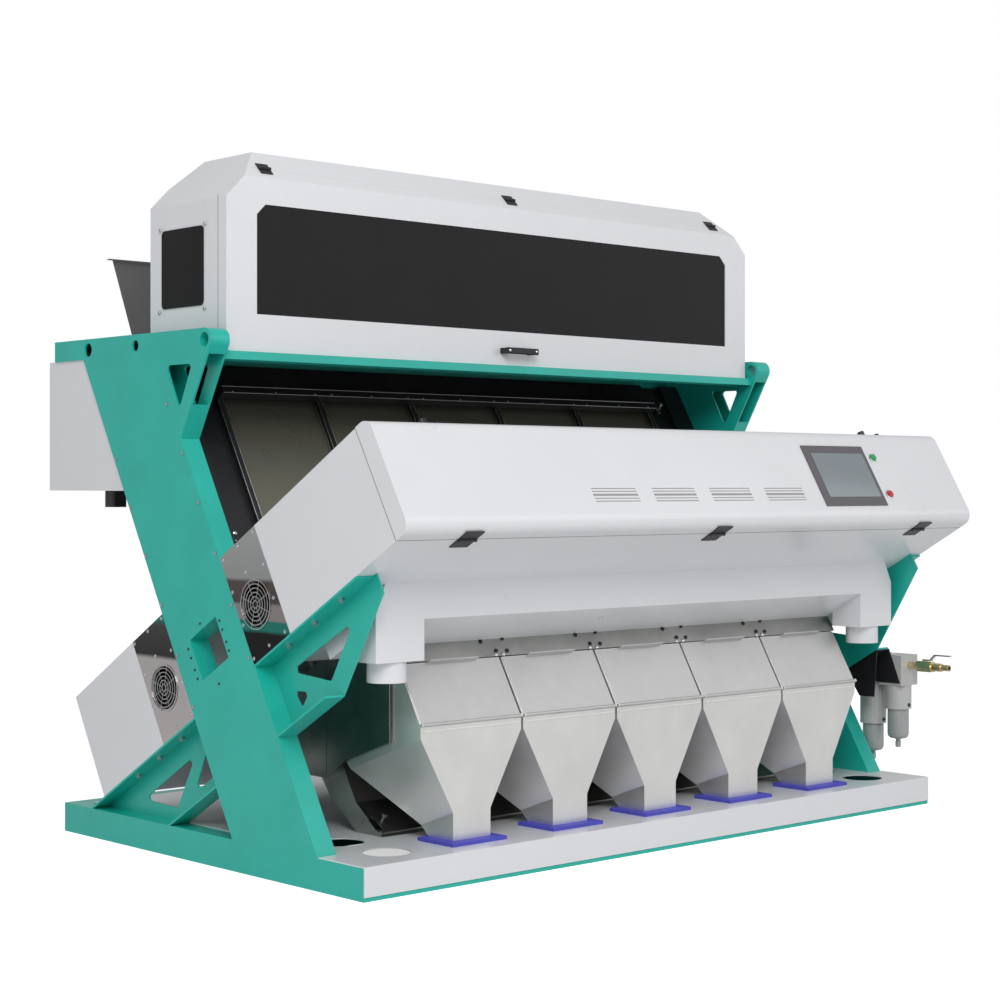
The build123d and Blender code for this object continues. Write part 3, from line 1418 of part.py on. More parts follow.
with BuildPart() as chamber_panels:
    front_wall = (
        (SEAM_Y - 1.0, 240.0),
        (-330.0, 300.0),
        (-520.0, 365.0),
        yz(crease_u, DUCT_V),
        yz(DUCT_REAR_U, DUCT_V),
        yz(DUCT_REAR_U, BOX_BOTTOM_V),
        (SEAM_Y - 1.0, (BOX_BOTTOM_V - (SEAM_Y - 1.0) * SIN) / COS),
    )
    rear_wall = (
        (SEAM_Y + 1.0, 240.0),
        (-60.0, 240.0),
        (-60.0, (MANIFOLD_V[0] + 60.0 * SIN) / COS),
        (SEAM_Y + 1.0, (MANIFOLD_V[0] - (SEAM_Y + 1.0) * SIN) / COS),
    )
    for sx in both_sides((CHAMBER_X - SHEET, CHAMBER_X)):
        prism(front_wall, sx)
        prism(rear_wall, sx)
    lean_slab(
        (-CHAMBER_X, CHAMBER_X),
        (crease_u - SHEET, crease_u),
        (face_top_v + 2.0, DUCT_V),
    )
keep(chamber_panels, "chamber_panels")

# Reject duct behind the hoppers, with a long clean-out flap on its lower front wall

reject_knee = (-306.0, 173.0)
reject_side = (
    (REJECT_MOUTH_Y[0], BASE_H),
    reject_knee,
    (-237.0, 291.0),
    (-175.0, 400.0),
    (-175.0, 470.0),
    (-62.0, 440.0),
    (-62.0, 330.0),
    (-171.0, 200.0),
    (-193.0, 172.0),
    (REJECT_MOUTH_Y[1], BASE_H),
)
slope_y = reject_knee[0] - REJECT_MOUTH_Y[0]
slope_z = reject_knee[1] - BASE_H
slope_l = hypot(slope_y, slope_z)
slope = (slope_y / slope_l, slope_z / slope_l)


def flap_plane(x):
    """Plane at x on the lower front wall of the reject duct; s up the wall, n off it."""
    return Plane(origin=(x, REJECT_MOUTH_Y[0], BASE_H), x_dir=(0, *slope), z_dir=(1, 0, 0))


def flap_slab(x, s, n, mode=Mode.ADD):
    """Block on the lower front wall of the reject duct."""
    with BuildSketch(flap_plane(x[0])) as face:
        with Locations(((s[0] + s[1]) / 2, (n[0] + n[1]) / 2)):
            Rectangle(s[1] - s[0], n[1] - n[0])
    extrude(face.sketch, amount=x[1] - x[0], mode=mode)


def flap_rod(x, radius, outline=disc, sides=KNOB_SIDES, mode=Mode.ADD):
    """Bar along the flap's hinge line."""
    with BuildSketch(flap_plane(x[0])) as face:
        with Locations(flap_axis):
            outline(radius, sides)
    extrude(face.sketch, amount=x[1] - x[0], mode=mode)


flap_axis = (12.0, KNUCKLE_R + SMALL_GAP)
flap_half = REJECT_X - 16.0

with BuildPart() as reject_duct:
    prism(reject_side, (-REJECT_X, REJECT_X))
    top_face = reject_duct.faces().sort_by(Axis.Z)[-1]
    bottom_face = reject_duct.faces().sort_by(Axis.Z)[0]
    offset(amount=-SHEET, openings=[top_face, bottom_face], kind=Kind.INTERSECTION)
    for cx in CHUTE_X:
        flap_slab(
            (cx - FLAP_SLOT_W / 2, cx + FLAP_SLOT_W / 2),
            (26.0, FLAP_L - 10.0),
            (-SHEET, 0),
            mode=Mode.SUBTRACT,
        )
    for lug_x in both_sides((flap_half + SMALL_GAP, REJECT_X)):
        flap_slab(lug_x, (flap_axis[0] - KNUCKLE_R, flap_axis[0] + KNUCKLE_R), (-SHEET / 2, flap_axis[1] + KNUCKLE_R))
    flap_rod((-REJECT_X, REJECT_X), PIN_R, sides=0)
keep(reject_duct, "reject_duct")

with BuildPart() as reject_flap:
    flap_slab((-flap_half, flap_half), (flap_axis[0], FLAP_L), (SMALL_GAP, SMALL_GAP + FLAP_T))
    flap_rod((-flap_half, flap_half), KNUCKLE_R)
    flap_rod((-flap_half, flap_half), PIN_R + FIT, bore, PIN_SIDES, mode=Mode.SUBTRACT)
    for knob_x in (-FLAP_KNOB_X, FLAP_KNOB_X):
        knob_y = REJECT_MOUTH_Y[0] + slope[0] * FLAP_KNOB_S
        knob_z = BASE_H + slope[1] * FLAP_KNOB_S
        knob_plane = Plane(origin=(knob_x, knob_y, knob_z), x_dir=(1, 0, 0), z_dir=(0, -slope[1], slope[0]))
        for start_n, radius, length in ((FLAP_T, 4.0, 18.0), (FLAP_T + 18.0, 9.0, 10.0)):
            with BuildSketch(knob_plane.offset(start_n)):
                disc(radius)
            extrude(amount=length)
keep(reject_flap, "reject_flap")

# Ejector manifold below the pass-through windows, with one nozzle block for each chute

with BuildPart() as ejector_manifold:
    lean_slab((-INNER_X, INNER_X), MANIFOLD_U, MANIFOLD_V)
    for cx in CHUTE_X:
        lean_slab(
            (cx - CHUTE_W / 2 + 10.0, cx + CHUTE_W / 2 - 10.0),
            (MANIFOLD_U[0] - 12.0, MANIFOLD_U[0]),
            (MANIFOLD_V[0] + 12.0, MANIFOLD_V[1] - 12.0),
        )
keep(ejector_manifold, "ejector_manifold")

# Lamps and cameras inside the optical boxes

lamp_end = VIEW_HALF_X + 50.0

with BuildPart() as lamp_tubes:
    for wall_u, inward in ((COLUMN_FRONT_U - SHEET, -1), (COLUMN_REAR_U + SHEET, 1)):
        for lamp_v in (VIEW_V[1] + 45.0,):
            lamp_u = wall_u + inward * 40.0
            lean_rod((-lamp_end, lamp_end), lamp_u, lamp_v, 13.0)
            for holder_x in both_sides((lamp_end - 15.0, lamp_end + 10.0)):
                span_u = (min(wall_u, wall_u + inward * 56.0), max(wall_u, wall_u + inward * 56.0))
                lean_slab(holder_x, span_u, (lamp_v - 18.0, lamp_v + 18.0))
keep(lamp_tubes, "lamp_tubes")

with BuildPart() as cameras:
    camera_v = (455.0, 525.0)
    for cx in CHUTE_X:
        for back_u, inward in ((-1010.0, 1), (320.0, -1)):
            body_u = (min(back_u, back_u + inward * 110.0), max(back_u, back_u + inward * 110.0))
            lean_slab((cx - 35.0, cx + 35.0), body_u, camera_v)
            lean_slab((cx - 25.0, cx + 25.0), (body_u[0] + 20.0, body_u[1] - 20.0), (BOX_BOTTOM_V + SHEET, camera_v[0]))
            lens_u = back_u + inward * 110.0
            lens_y, lens_z = yz(lens_u, sum(camera_v) / 2)
            with BuildSketch(Plane(origin=(cx, lens_y, lens_z), x_dir=(1, 0, 0), z_dir=(0, inward * COS, -inward * SIN))):
                disc(22.0, PIN_SIDES)
            extrude(amount=40.0)
keep(cameras, "cameras")

# Electrical cabinet behind the columns, its lifting rear door and the power inlet

cabinet_front = tuple(yz(COLUMN_REAR_U, (z + COLUMN_REAR_U * SIN) / COS) for z in CABINET_Z)
cabinet_side = (
    cabinet_front[0],
    cabinet_front[1],
    (CABINET_REAR_Y, CABINET_Z[1]),
    (CABINET_REAR_Y, CABINET_Z[0]),
)
board_y = CABINET_REAR_Y - 150.0
hinge_y = CABINET_REAR_Y + 6.0
hinge_z = CABINET_Z[1] + KNUCKLE_R + 1.5
lug_half = 4.0


def cabinet_rod(x, radius, outline=disc, sides=KNOB_SIDES, mode=Mode.ADD):
    """Bar along the hinge line above the cabinet door."""
    with BuildSketch(side_plane(x[0])) as face:
        with Locations((hinge_y, hinge_z)):
            outline(radius, sides)
    extrude(face.sketch, amount=x[1] - x[0], mode=mode)


with BuildPart() as electrical_cabinet:
    prism(cabinet_side, (-CABINET_X, CABINET_X))
    open_face = electrical_cabinet.faces().sort_by(Axis.Y)[-1]
    offset(amount=-SHEET, openings=[open_face], kind=Kind.INTERSECTION)
    slab((-CABINET_X + 40.0, CABINET_X - 40.0), (board_y, board_y + SHEET), (CABINET_Z[0] + SHEET, CABINET_Z[1] - 40.0))
    for cx in CHUTE_X:
        slab((cx - 120.0, cx + 120.0), (board_y + SHEET, board_y + 70.0), (CABINET_Z[0] + 80.0, CABINET_Z[0] + 260.0))
    for hinge_x in CABINET_HINGE_X:
        for lug_x in (
            (hinge_x - CABINET_BARREL / 2 - 12.0, hinge_x - CABINET_BARREL / 2 - SMALL_GAP),
            (hinge_x + CABINET_BARREL / 2 + SMALL_GAP, hinge_x + CABINET_BARREL / 2 + 12.0),
        ):
            slab(lug_x, (CABINET_REAR_Y - 24.0, CABINET_REAR_Y), (CABINET_Z[1], hinge_z + lug_half))
            slab(
                lug_x,
                (CABINET_REAR_Y, hinge_y + lug_half),
                (hinge_z - lug_half, hinge_z + lug_half),
            )
        pin_x = (hinge_x - CABINET_BARREL / 2 - 2.0, hinge_x + CABINET_BARREL / 2 + 2.0)
        cabinet_rod(pin_x, PIN_R, sides=0)
keep(electrical_cabinet, "electrical_cabinet")

with BuildPart() as cabinet_door:
    slab(
        (-CABINET_X, CABINET_X),
        (CABINET_REAR_Y + SMALL_GAP, CABINET_REAR_Y + CABINET_DOOR_T),
        CABINET_Z,
    )
    door_back = cabinet_door.faces().sort_by(Axis.Y)[0]
    offset(amount=-SHEET, openings=[door_back], kind=Kind.INTERSECTION)
    for grip_x in (-CABINET_X / 2, CABINET_X / 2):
        slab(
            (grip_x - 60.0, grip_x + 60.0),
            (CABINET_REAR_Y + CABINET_DOOR_T, CABINET_REAR_Y + CABINET_DOOR_T + 14.0),
            (CABINET_Z[0] + 36.0, CABINET_Z[0] + 44.0),
        )
    for hinge_x in CABINET_HINGE_X:
        barrel = (hinge_x - CABINET_BARREL / 2, hinge_x + CABINET_BARREL / 2)
        slab(barrel, (hinge_y - 2.0, hinge_y + 2.0), (CABINET_Z[1], hinge_z))
        cabinet_rod(barrel, KNUCKLE_R)
        cabinet_rod(barrel, PIN_R + FIT, bore, PIN_SIDES, mode=Mode.SUBTRACT)
keep(cabinet_door, "cabinet_door")

with BuildPart() as power_inlet:
    slab(
        (INLET_X - INLET / 2, INLET_X + INLET / 2),
        (INLET_Y - INLET / 2, INLET_Y + INLET / 2),
        (CABINET_Z[0] - INLET, CABINET_Z[0]),
    )
    chamfer(power_inlet.edges().filter_by(Axis.Z), 5.0)
    slab((INLET_X - 17.0, INLET_X + 17.0), (INLET_Y - 12.0, INLET_Y + 12.0), (CABINET_Z[0] - INLET, CABINET_Z[0] - 20.0), mode=Mode.SUBTRACT)
keep(power_inlet, "power_inlet")

# Air unit at the right: bracket under the arm, two filters, ball valve and lever

plate_x = (OUTER_X, OUTER_X + 4.0)

with BuildPart() as air_bracket:
    arm_edge = (yz(ARM_HEEL_U, ARM_BOTTOM_V), yz(-600.0, ARM_BOTTOM_V))
    lean_slab((INNER_X, plate_x[1]), (ARM_HEEL_U, -600.0), (ARM_BOTTOM_V - 4.0, ARM_BOTTOM_V))
    prism((arm_edge[0], arm_edge[1], (-501.0, 347.0), (-562.0, 347.0)), (INNER_X, INNER_X + 4.0))
    prism((arm_edge[0], arm_edge[1], (-436.0, 392.0), (-620.0, 392.0)), plate_x)
keep(air_bracket, "air_bracket")

with BuildPart() as air_filters:
    for filter_y, body_z in zip(FILTER_Y, BODY_BOTTOM):
        half = AIR_HEAD / 2
        slab(
            (AIR_X - half, AIR_X + half),
            (filter_y - half, filter_y + half),
            (AIR_TOP - AIR_HEAD_H, AIR_TOP),
        )
        upright_rod(AIR_X, filter_y, (body_z, AIR_TOP - AIR_HEAD_H), BODY_R, 2 * KNOB_SIDES)
    slab(
        (AIR_X - 25.0, AIR_X + 25.0),
        (FILTER_Y[0] + AIR_HEAD / 2, FILTER_Y[1] - AIR_HEAD / 2),
        (VALVE_Z - 25.0, VALVE_Z + 25.0),
    )
keep(air_filters, "air_filters")

with BuildPart() as filter_bowls:
    for filter_y, body_z, bowl_z in zip(FILTER_Y, BODY_BOTTOM, BOWL_BOTTOM):
        upright_rod(AIR_X, filter_y, (bowl_z + 12.0, body_z), BOWL_R, KNOB_SIDES)
        with BuildSketch(Plane.XY.offset(bowl_z + 12.0)) as bowl_foot:
            with Locations((AIR_X, filter_y)):
                disc(BOWL_R, KNOB_SIDES)
        extrude(bowl_foot.sketch, amount=-12.0, taper=45.0)
        upright_rod(AIR_X, filter_y, (bowl_z - 30.0, bowl_z), 9.0, PIN_SIDES)
keep(filter_bowls, "filter_bowls")


def pipe_run(y, radius, sides=0, mode=Mode.ADD):
    """Bar along the air inlet's axis, round unless it has flat sides."""
    with BuildSketch(Plane(origin=(AIR_X, y[1], VALVE_Z), x_dir=(1, 0, 0), z_dir=(0, -1, 0))) as face:
        if sides:
            RegularPolygon(radius, sides)
        else:
            Circle(radius)
    extrude(face.sketch, amount=y[1] - y[0], mode=mode)


valve_half = 30.0
stem_z = VALVE_Z + 20.0

with BuildPart() as ball_valve:
    pipe_run((VALVE_Y + valve_half, FILTER_Y[0] - AIR_HEAD / 2), 13.0, KNOB_SIDES)
    with BuildSketch(Plane(origin=(AIR_X, VALVE_Y + valve_half, VALVE_Z), x_dir=(1, 0, 0), z_dir=(0, -1, 0))):
        RegularPolygon(20.0, 6)
    extrude(amount=2 * valve_half)
    pipe_run((NIPPLE_END_Y + 30.0, VALVE_Y - valve_half), 14.0, KNOB_SIDES)
    pipe_run((NIPPLE_END_Y, NIPPLE_END_Y + 30.0), NIPPLE_R)
    upright_rod(AIR_X, VALVE_Y, (VALVE_Z, stem_z), 8.0, KNOB_SIDES)
    upright_rod(AIR_X, VALVE_Y, (VALVE_Z + 10.0, stem_z), FAN_SHAFT_R + FIT, mode=Mode.SUBTRACT)
    pipe_run((NIPPLE_END_Y, VALVE_Y - 12.0), 7.0, KNOB_SIDES, mode=Mode.SUBTRACT)
keep(ball_valve, "ball_valve")

with BuildPart() as valve_lever:
    upright_rod(AIR_X, VALVE_Y, (VALVE_Z + 12.0, stem_z + 4.0), FAN_SHAFT_R)
    slab((AIR_X - 7.0, AIR_X + 7.0), (VALVE_Y - 26.0, VALVE_Y + 9.0), (stem_z + SMALL_GAP, stem_z + 4.0))
    with BuildSketch(side_plane(AIR_X - 7.0)) as bend:
        with BuildLine():
            Polyline(
                (VALVE_Y - 22.0, stem_z + SMALL_GAP),
                (VALVE_Y - 40.0, stem_z + 18.0),
                (VALVE_Y - 100.0, stem_z + 18.0),
                (VALVE_Y - 100.0, stem_z + 22.0),
                (VALVE_Y - 38.0, stem_z + 22.0),
                (VALVE_Y - 20.0, stem_z + 4.0),
                close=True,
            )
        make_face()
    extrude(bend.sketch, amount=14.0)
keep(valve_lever, "valve_lever")
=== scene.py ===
# %% [markdown]
# # A tea sorting machine, dressed for its portrait
#
# The machine drops tea down five steep chutes, looks at every leaf with cameras in two
# slanted boxes, and blows the bad ones aside. Its steel parts arrive as a finished CAD
# model, in metres, so this script never moves them: it gives each one a finish, adds the
# fine pieces that a CAD model leaves out, and sets up the camera and the light.

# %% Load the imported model
import math

import bmesh
import bpy
import numpy as np
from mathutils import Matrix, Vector


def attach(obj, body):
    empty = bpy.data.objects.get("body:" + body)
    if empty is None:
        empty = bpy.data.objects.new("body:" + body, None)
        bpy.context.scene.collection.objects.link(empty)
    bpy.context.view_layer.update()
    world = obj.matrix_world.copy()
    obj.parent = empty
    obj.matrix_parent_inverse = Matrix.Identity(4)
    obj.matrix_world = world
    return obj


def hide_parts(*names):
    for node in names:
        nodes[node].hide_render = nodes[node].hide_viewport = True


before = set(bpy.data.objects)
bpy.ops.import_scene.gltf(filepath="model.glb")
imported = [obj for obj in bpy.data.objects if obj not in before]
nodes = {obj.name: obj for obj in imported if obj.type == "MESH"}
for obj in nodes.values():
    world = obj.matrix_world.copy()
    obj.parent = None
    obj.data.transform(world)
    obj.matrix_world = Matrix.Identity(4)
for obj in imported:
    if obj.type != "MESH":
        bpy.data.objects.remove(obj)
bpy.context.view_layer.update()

# %% [markdown]
# ## The lean of the machine
#
# Chutes, columns and both optical boxes share one lean of 30 degrees. In the side view,
# v runs up the chutes and u runs across them, to the rear and down. Working in u and v
# makes every small piece on a slanted face as easy to place as one on a level face.

# %% Directions of the leaning frame
LEAN = math.radians(30.0)
RIGHT = np.array((1.0, 0.0, 0.0))
ACROSS = np.array((0.0, math.cos(LEAN), -math.sin(LEAN)))
ALONG = np.array((0.0, math.sin(LEAN), math.cos(LEAN)))
UP = np.array((0.0, 0.0, 1.0))
FRONT = np.array((0.0, -1.0, 0.0))


def lean_point(x, u, v):
    """Point or points in metres from x, u and v in millimetres."""
    x, u, v = np.broadcast_arrays(np.asarray(x, float), u, v)
    return (x[..., None] * RIGHT + u[..., None] * ACROSS + v[..., None] * ALONG) / 1000.0


def point(x, y, z):
    """Point or points in metres from x, y and z in millimetres."""
    return np.stack(np.broadcast_arrays(np.asarray(x, float), y, z), axis=-1) / 1000.0


print("u runs along", ACROSS.round(3), "and v along", ALONG.round(3))

# %% [markdown]
# ## Finishes
#
# A powder coat isn't one flat colour: it has a faint orange peel, a little dust and a
# slightly uneven sheen. Every finish here is a Principled shader
# whose colour and roughness drift by a few percent, with a fine bump on top. The drift
# reads Object coordinates, which are metres here, so one scale value suits every piece.

# %% Helper: a shader with drifting colour, roughness and a fine bump


def finish(
    name,
    colour,
    roughness,
    metallic=0.0,
    coat=0.0,
    coat_roughness=0.1,
    drift=0.06,
    drift_scale=6.0,
    rough_drift=0.08,
    grain=(900.0, 900.0, 900.0),
    bump=0.04,
    bump_distance=0.0004,
    ior=1.5,
):
    """Material: base colour and roughness follow a soft noise, and bump follows a fine one."""
    material = bpy.data.materials.new(name)
    material.use_nodes = True
    tree = material.node_tree
    make = tree.nodes.new
    link = tree.links.new
    shader = tree.nodes["Principled BSDF"]
    shader.inputs["Metallic"].default_value = metallic
    shader.inputs["Coat Weight"].default_value = coat
    shader.inputs["Coat Roughness"].default_value = coat_roughness
    shader.inputs["IOR"].default_value = ior
    where = make("ShaderNodeTexCoord")
    broad = make("ShaderNodeTexNoise")
    broad.inputs["Scale"].default_value = drift_scale
    broad.inputs["Detail"].default_value = 5.0
    broad.inputs["Roughness"].default_value = 0.6
    link(where.outputs["Object"], broad.inputs["Vector"])
    tones = make("ShaderNodeValToRGB")
    low = [max(0.0, channel * (1.0 - drift)) for channel in colour]
    high = [min(1.0, channel * (1.0 + drift)) for channel in colour]
    tones.color_ramp.elements[0].position = 0.3
    tones.color_ramp.elements[0].color = (*low, 1.0)
    tones.color_ramp.elements[1].position = 0.7
    tones.color_ramp.elements[1].color = (*high, 1.0)
    link(broad.outputs["Fac"], tones.inputs["Fac"])
    link(tones.outputs["Color"], shader.inputs["Base Color"])
    gloss = make("ShaderNodeMapRange")
    gloss.inputs["To Min"].default_value = max(0.02, roughness - rough_drift)
    gloss.inputs["To Max"].default_value = min(1.0, roughness + rough_drift)
    link(broad.outputs["Fac"], gloss.inputs["Value"])
    link(gloss.outputs["Result"], shader.inputs["Roughness"])
    stretch = make("ShaderNodeMapping")
    stretch.inputs["Scale"].default_value = grain
    fine = make("ShaderNodeTexNoise")
    fine.inputs["Scale"].default_value = 1.0
    fine.inputs["Detail"].default_value = 3.0
    relief = make("ShaderNodeBump")
    relief.inputs["Strength"].default_value = bump
    relief.inputs["Distance"].default_value = bump_distance
    link(where.outputs["Object"], stretch.inputs["Vector"])
    link(stretch.outputs["Vector"], fine.inputs["Vector"])
    link(fine.outputs["Fac"], relief.inputs["Height"])
    link(relief.outputs["Normal"], shader.inputs["Normal"])
    return material


# %% Paints, steels and plastics of this machine
GREEN = finish("teal_powder_coat", (0.010, 0.45, 0.37), 0.34, coat=0.15, rough_drift=0.04, bump=0.02)
WHITE = finish(
    "white_gloss_coat", (0.72, 0.73, 0.755), 0.28, coat=0.2, drift=0.012, rough_drift=0.015, bump=0.004
)
BLACK = finish("black_satin_paint", (0.012, 0.012, 0.014), 0.42, drift=0.3)
CHARCOAL = finish("dark_hopper_paint", (0.105, 0.098, 0.1), 0.45, drift=0.1)
STEEL = finish(
    "brushed_stainless", (0.82, 0.815, 0.795), 0.40,
    metallic=0.85, drift=0.05, grain=(14.0, 900.0, 900.0), bump=0.18
)
# Darker copy of the stainless: painted shade for the reject duct, reject flap and chamber panels.
SHADED_STEEL = finish("stainless_painted_shade", (0.36, 0.365, 0.35), 0.32, metallic=1.0, drift=0.12, drift_scale=9.0)
DOOR_STEEL = finish(
    "door_stainless", (0.60, 0.60, 0.595), 0.44,
    metallic=0.8, drift=0.06, grain=(14.0, 900.0, 900.0), bump=0.18
)
BRIGHT = finish(
    "polished_steel", (0.72, 0.72, 0.74), 0.12, metallic=1.0, drift=0.03, rough_drift=0.04, bump=0.02
)
ZINC = finish("zinc_plated_steel", (0.55, 0.55, 0.56), 0.34, metallic=1.0, drift=0.08, drift_scale=60.0)
# Its base colour is replaced below by olive that turns to painted shade towards the top.
BRONZE = finish("olive_chute_sheet_painted_shade", (0.055, 0.048, 0.028), 0.3, metallic=0.45, drift=0.2, bump=0.03)
ALUMINIUM = finish("bare_aluminium", (0.62, 0.63, 0.64), 0.4, metallic=1.0, drift=0.05)
GLASS = finish("smoked_window", (0.016, 0.016, 0.017), 0.12, ior=1.18, rough_drift=0.02, bump=0.0)
BLUE = finish("blue_rubber_pad", (0.075, 0.075, 0.50), 0.62, drift=0.12, drift_scale=30.0, bump=0.2)
PANEL = finish("panel_bezel", (0.105, 0.098, 0.11), 0.42, drift=0.05)
DISPLAY = finish("display_glass", (0.205, 0.24, 0.26), 0.2, coat=0.3, drift=0.02, bump=0.0)
LOUVRE = finish("vent_louvre", (0.33, 0.32, 0.34), 0.5, drift=0.04)
# Dark grey for the bars in the panel gaps: painted shade.
GAP_PAINTED_SHADE = finish("seam_gap_painted_shade", (0.13, 0.13, 0.145), 0.6, drift=0.05)
# Metal strip whose base colour carries painted reflection bands, set by height below.
STRIP_PAINTED_REFLECTIONS = finish("strip_with_painted_reflections", (0.45, 0.45, 0.45), 0.22, metallic=1.0, rough_drift=0.05, bump=0.04)
PLASTIC = finish("black_plastic", (0.012, 0.012, 0.012), 0.4, drift=0.2, drift_scale=40.0, bump=0.1)
START = finish("green_button_cap", (0.0, 0.34, 0.075), 0.22, coat=0.6, drift=0.05, drift_scale=80.0)
STOP = finish("red_button_cap", (0.52, 0.006, 0.006), 0.22, coat=0.6, drift=0.05, drift_scale=80.0)
FILTER = finish("filter_housing", (0.47, 0.48, 0.47), 0.32, coat=0.3, drift=0.05, drift_scale=20.0)
BOWL = finish("filter_bowl", (0.34, 0.36, 0.36), 0.22, coat=0.4, drift=0.08, drift_scale=20.0)
BRASS = finish("valve_brass", (0.80, 0.64, 0.38), 0.3, metallic=1.0, drift=0.1, drift_scale=50.0)
LAMP = finish("lamp_glass", (0.80, 0.82, 0.84), 0.3, coat=0.4, drift=0.02)
print("finishes:", len(bpy.data.materials))

# %% [markdown]
# ## Painted reflections and painted shade that change with height
#
# The side strips are nearly mirrors, and their broad dark, teal and grey bands are painted
# reflections. The chute slides are olive lower down and go nearly black at the top, and that
# darkening is painted shade of the hood. Both follow the height on the machine, so a colour
# ramp reads Z, with a soft noise that keeps the edges from looking ruled.

# %% Colour against height


def by_height(material, stops, wobble=0.01):
    """Ramp output of a material: colour at z + wobble * noise, between (height, colour) stops."""
    tree = material.node_tree
    make, link = tree.nodes.new, tree.links.new
    where, parts = make("ShaderNodeTexCoord"), make("ShaderNodeSeparateXYZ")
    waves, shift = make("ShaderNodeTexNoise"), make("ShaderNodeMath")
    waves.inputs["Scale"].default_value = 4.0
    shift.operation = "MULTIPLY_ADD"
    shift.inputs[1].default_value = wobble
    span, ramp = make("ShaderNodeMapRange"), make("ShaderNodeValToRGB")
    low, high = stops[0][0], stops[-1][0]
    span.inputs["From Min"].default_value = low
    span.inputs["From Max"].default_value = high
    for height, _ in stops[1:-1]:
        ramp.color_ramp.elements.new((height - low) / (high - low))
    for element, (_, colour) in zip(ramp.color_ramp.elements, stops):
        element.color = (*colour, 1.0)
    link(where.outputs["Object"], parts.inputs["Vector"])
    link(where.outputs["Object"], waves.inputs["Vector"])
    link(waves.outputs["Fac"], shift.inputs[0])
    link(parts.outputs["Z"], shift.inputs[2])
    link(shift.outputs["Value"], span.inputs["Value"])
    link(span.outputs["Result"], ramp.inputs["Fac"])
    return ramp.outputs["Color"], parts.outputs["Y"]


# Painted reflections on the front strips: dark, teal, lilac-grey and pale bands by height.
FRONT_PAINTED_REFLECTIONS = [
    (0.50, (0.02, 0.02, 0.02)), (0.665, (0.02, 0.02, 0.02)), (0.675, (0.03, 0.27, 0.22)),
    (0.698, (0.03, 0.27, 0.22)), (0.704, (0.40, 0.35, 0.35)), (0.742, (0.40, 0.35, 0.35)),
    (0.750, (0.12, 0.10, 0.095)), (0.805, (0.14, 0.12, 0.11)), (0.815, (0.45, 0.47, 0.46)),
    (0.96, (0.55, 0.56, 0.56)),
]
# Painted reflections on the rear strips: pale grey, black and teal bands by height.
REAR_PAINTED_REFLECTIONS = [
    (0.20, (0.60, 0.56, 0.56)), (0.563, (0.62, 0.58, 0.58)), (0.575, (0.05, 0.05, 0.05)),
    (0.66, (0.09, 0.085, 0.085)), (0.68, (0.03, 0.25, 0.20)), (0.75, (0.03, 0.25, 0.20)),
]
front_reflection_colour, depth = by_height(STRIP_PAINTED_REFLECTIONS, FRONT_PAINTED_REFLECTIONS)
rear_reflection_colour, _ = by_height(STRIP_PAINTED_REFLECTIONS, REAR_PAINTED_REFLECTIONS)
strip_tree = STRIP_PAINTED_REFLECTIONS.node_tree
is_front = strip_tree.nodes.new("ShaderNodeMath")
is_front.operation = "LESS_THAN"
is_front.inputs[1].default_value = -0.03
pick = strip_tree.nodes.new("ShaderNodeMix")
pick.data_type = "RGBA"
strip_tree.links.new(depth, is_front.inputs[0])
strip_tree.links.new(is_front.outputs["Value"], pick.inputs["Factor"])
strip_tree.links.new(rear_reflection_colour, pick.inputs["A"])
strip_tree.links.new(front_reflection_colour, pick.inputs["B"])
strip_tree.links.new(pick.outputs["Result"], strip_tree.nodes["Principled BSDF"].inputs["Base Color"])
# Olive is the sheet's own colour; the fall to nearly black at the top is painted shade of the hood.
SLIDE_OLIVE_AND_PAINTED_SHADE = [(0.75, (0.20, 0.195, 0.16)), (1.25, (0.17, 0.165, 0.13)), (1.42, (0.012, 0.012, 0.012))]
olive_and_painted_shade, _ = by_height(BRONZE, SLIDE_OLIVE_AND_PAINTED_SHADE, 0.04)
BRONZE.node_tree.links.new(olive_and_painted_shade, BRONZE.node_tree.nodes["Principled BSDF"].inputs["Base Color"])
print("banded finishes:", STRIP_PAINTED_REFLECTIONS.name, BRONZE.name)

# %% Give every CAD node its finish
DRESS = {
    GREEN: [
        "base_frame", "left_side_frame", "right_side_frame", "column_covers", "box_arms", "crossbeams",
    ],
    WHITE: [
        "base_tray", "hood_shell", "hood_door", "front_box_shell", "rear_box_shell", "front_cover",
        "dust_duct", "electrical_cabinet", "cabinet_door",
    ],
    GLASS: ["hood_glass", "window_panes"],
    BLACK: ["hood_fittings", "hinge_leaves", "cover_hinges", "chute_frames", "cameras", "air_bracket"],
    CHARCOAL: ["feed_hopper", "vibrators"],
    # Side strips take the painted reflection bands.
    STRIP_PAINTED_REFLECTIONS: ["side_strips"],
    STEEL: ["feeder_trays"],
    # These parts take the darker stainless, which is painted shade.
    SHADED_STEEL: ["chamber_panels", "reject_duct", "reject_flap"],
    DOOR_STEEL: [],
    BRIGHT: ["clamp_lever"],
    ZINC: ["frame_bolts", "fan_guards", "valve_lever"],
    BRONZE: ["chute_slides"],
    ALUMINIUM: ["ejector_manifold"],
    BLUE: ["outlet_pads"],
    PANEL: ["touch_screen"],
    PLASTIC: ["fan_housings", "left_front_fan", "left_rear_fan", "power_inlet", "left_latch", "right_latch"],
    START: ["start_button"],
    STOP: ["stop_button"],
    FILTER: ["air_filters"],
    BOWL: ["filter_bowls"],
    BRASS: ["ball_valve"],
    LAMP: ["lamp_tubes"],
}
for number in range(1, 6):
    DRESS[STEEL].append(f"outlet_hopper_{number}")
    DRESS[DOOR_STEEL].append(f"outlet_door_{number}")
for material, names in DRESS.items():
    for name in names:
        slots = nodes[name].data.materials
        slots.clear()
        slots.append(material)
undressed = set(nodes) - {name for names in DRESS.values() for name in names}
print("nodes without a finish:", sorted(undressed))

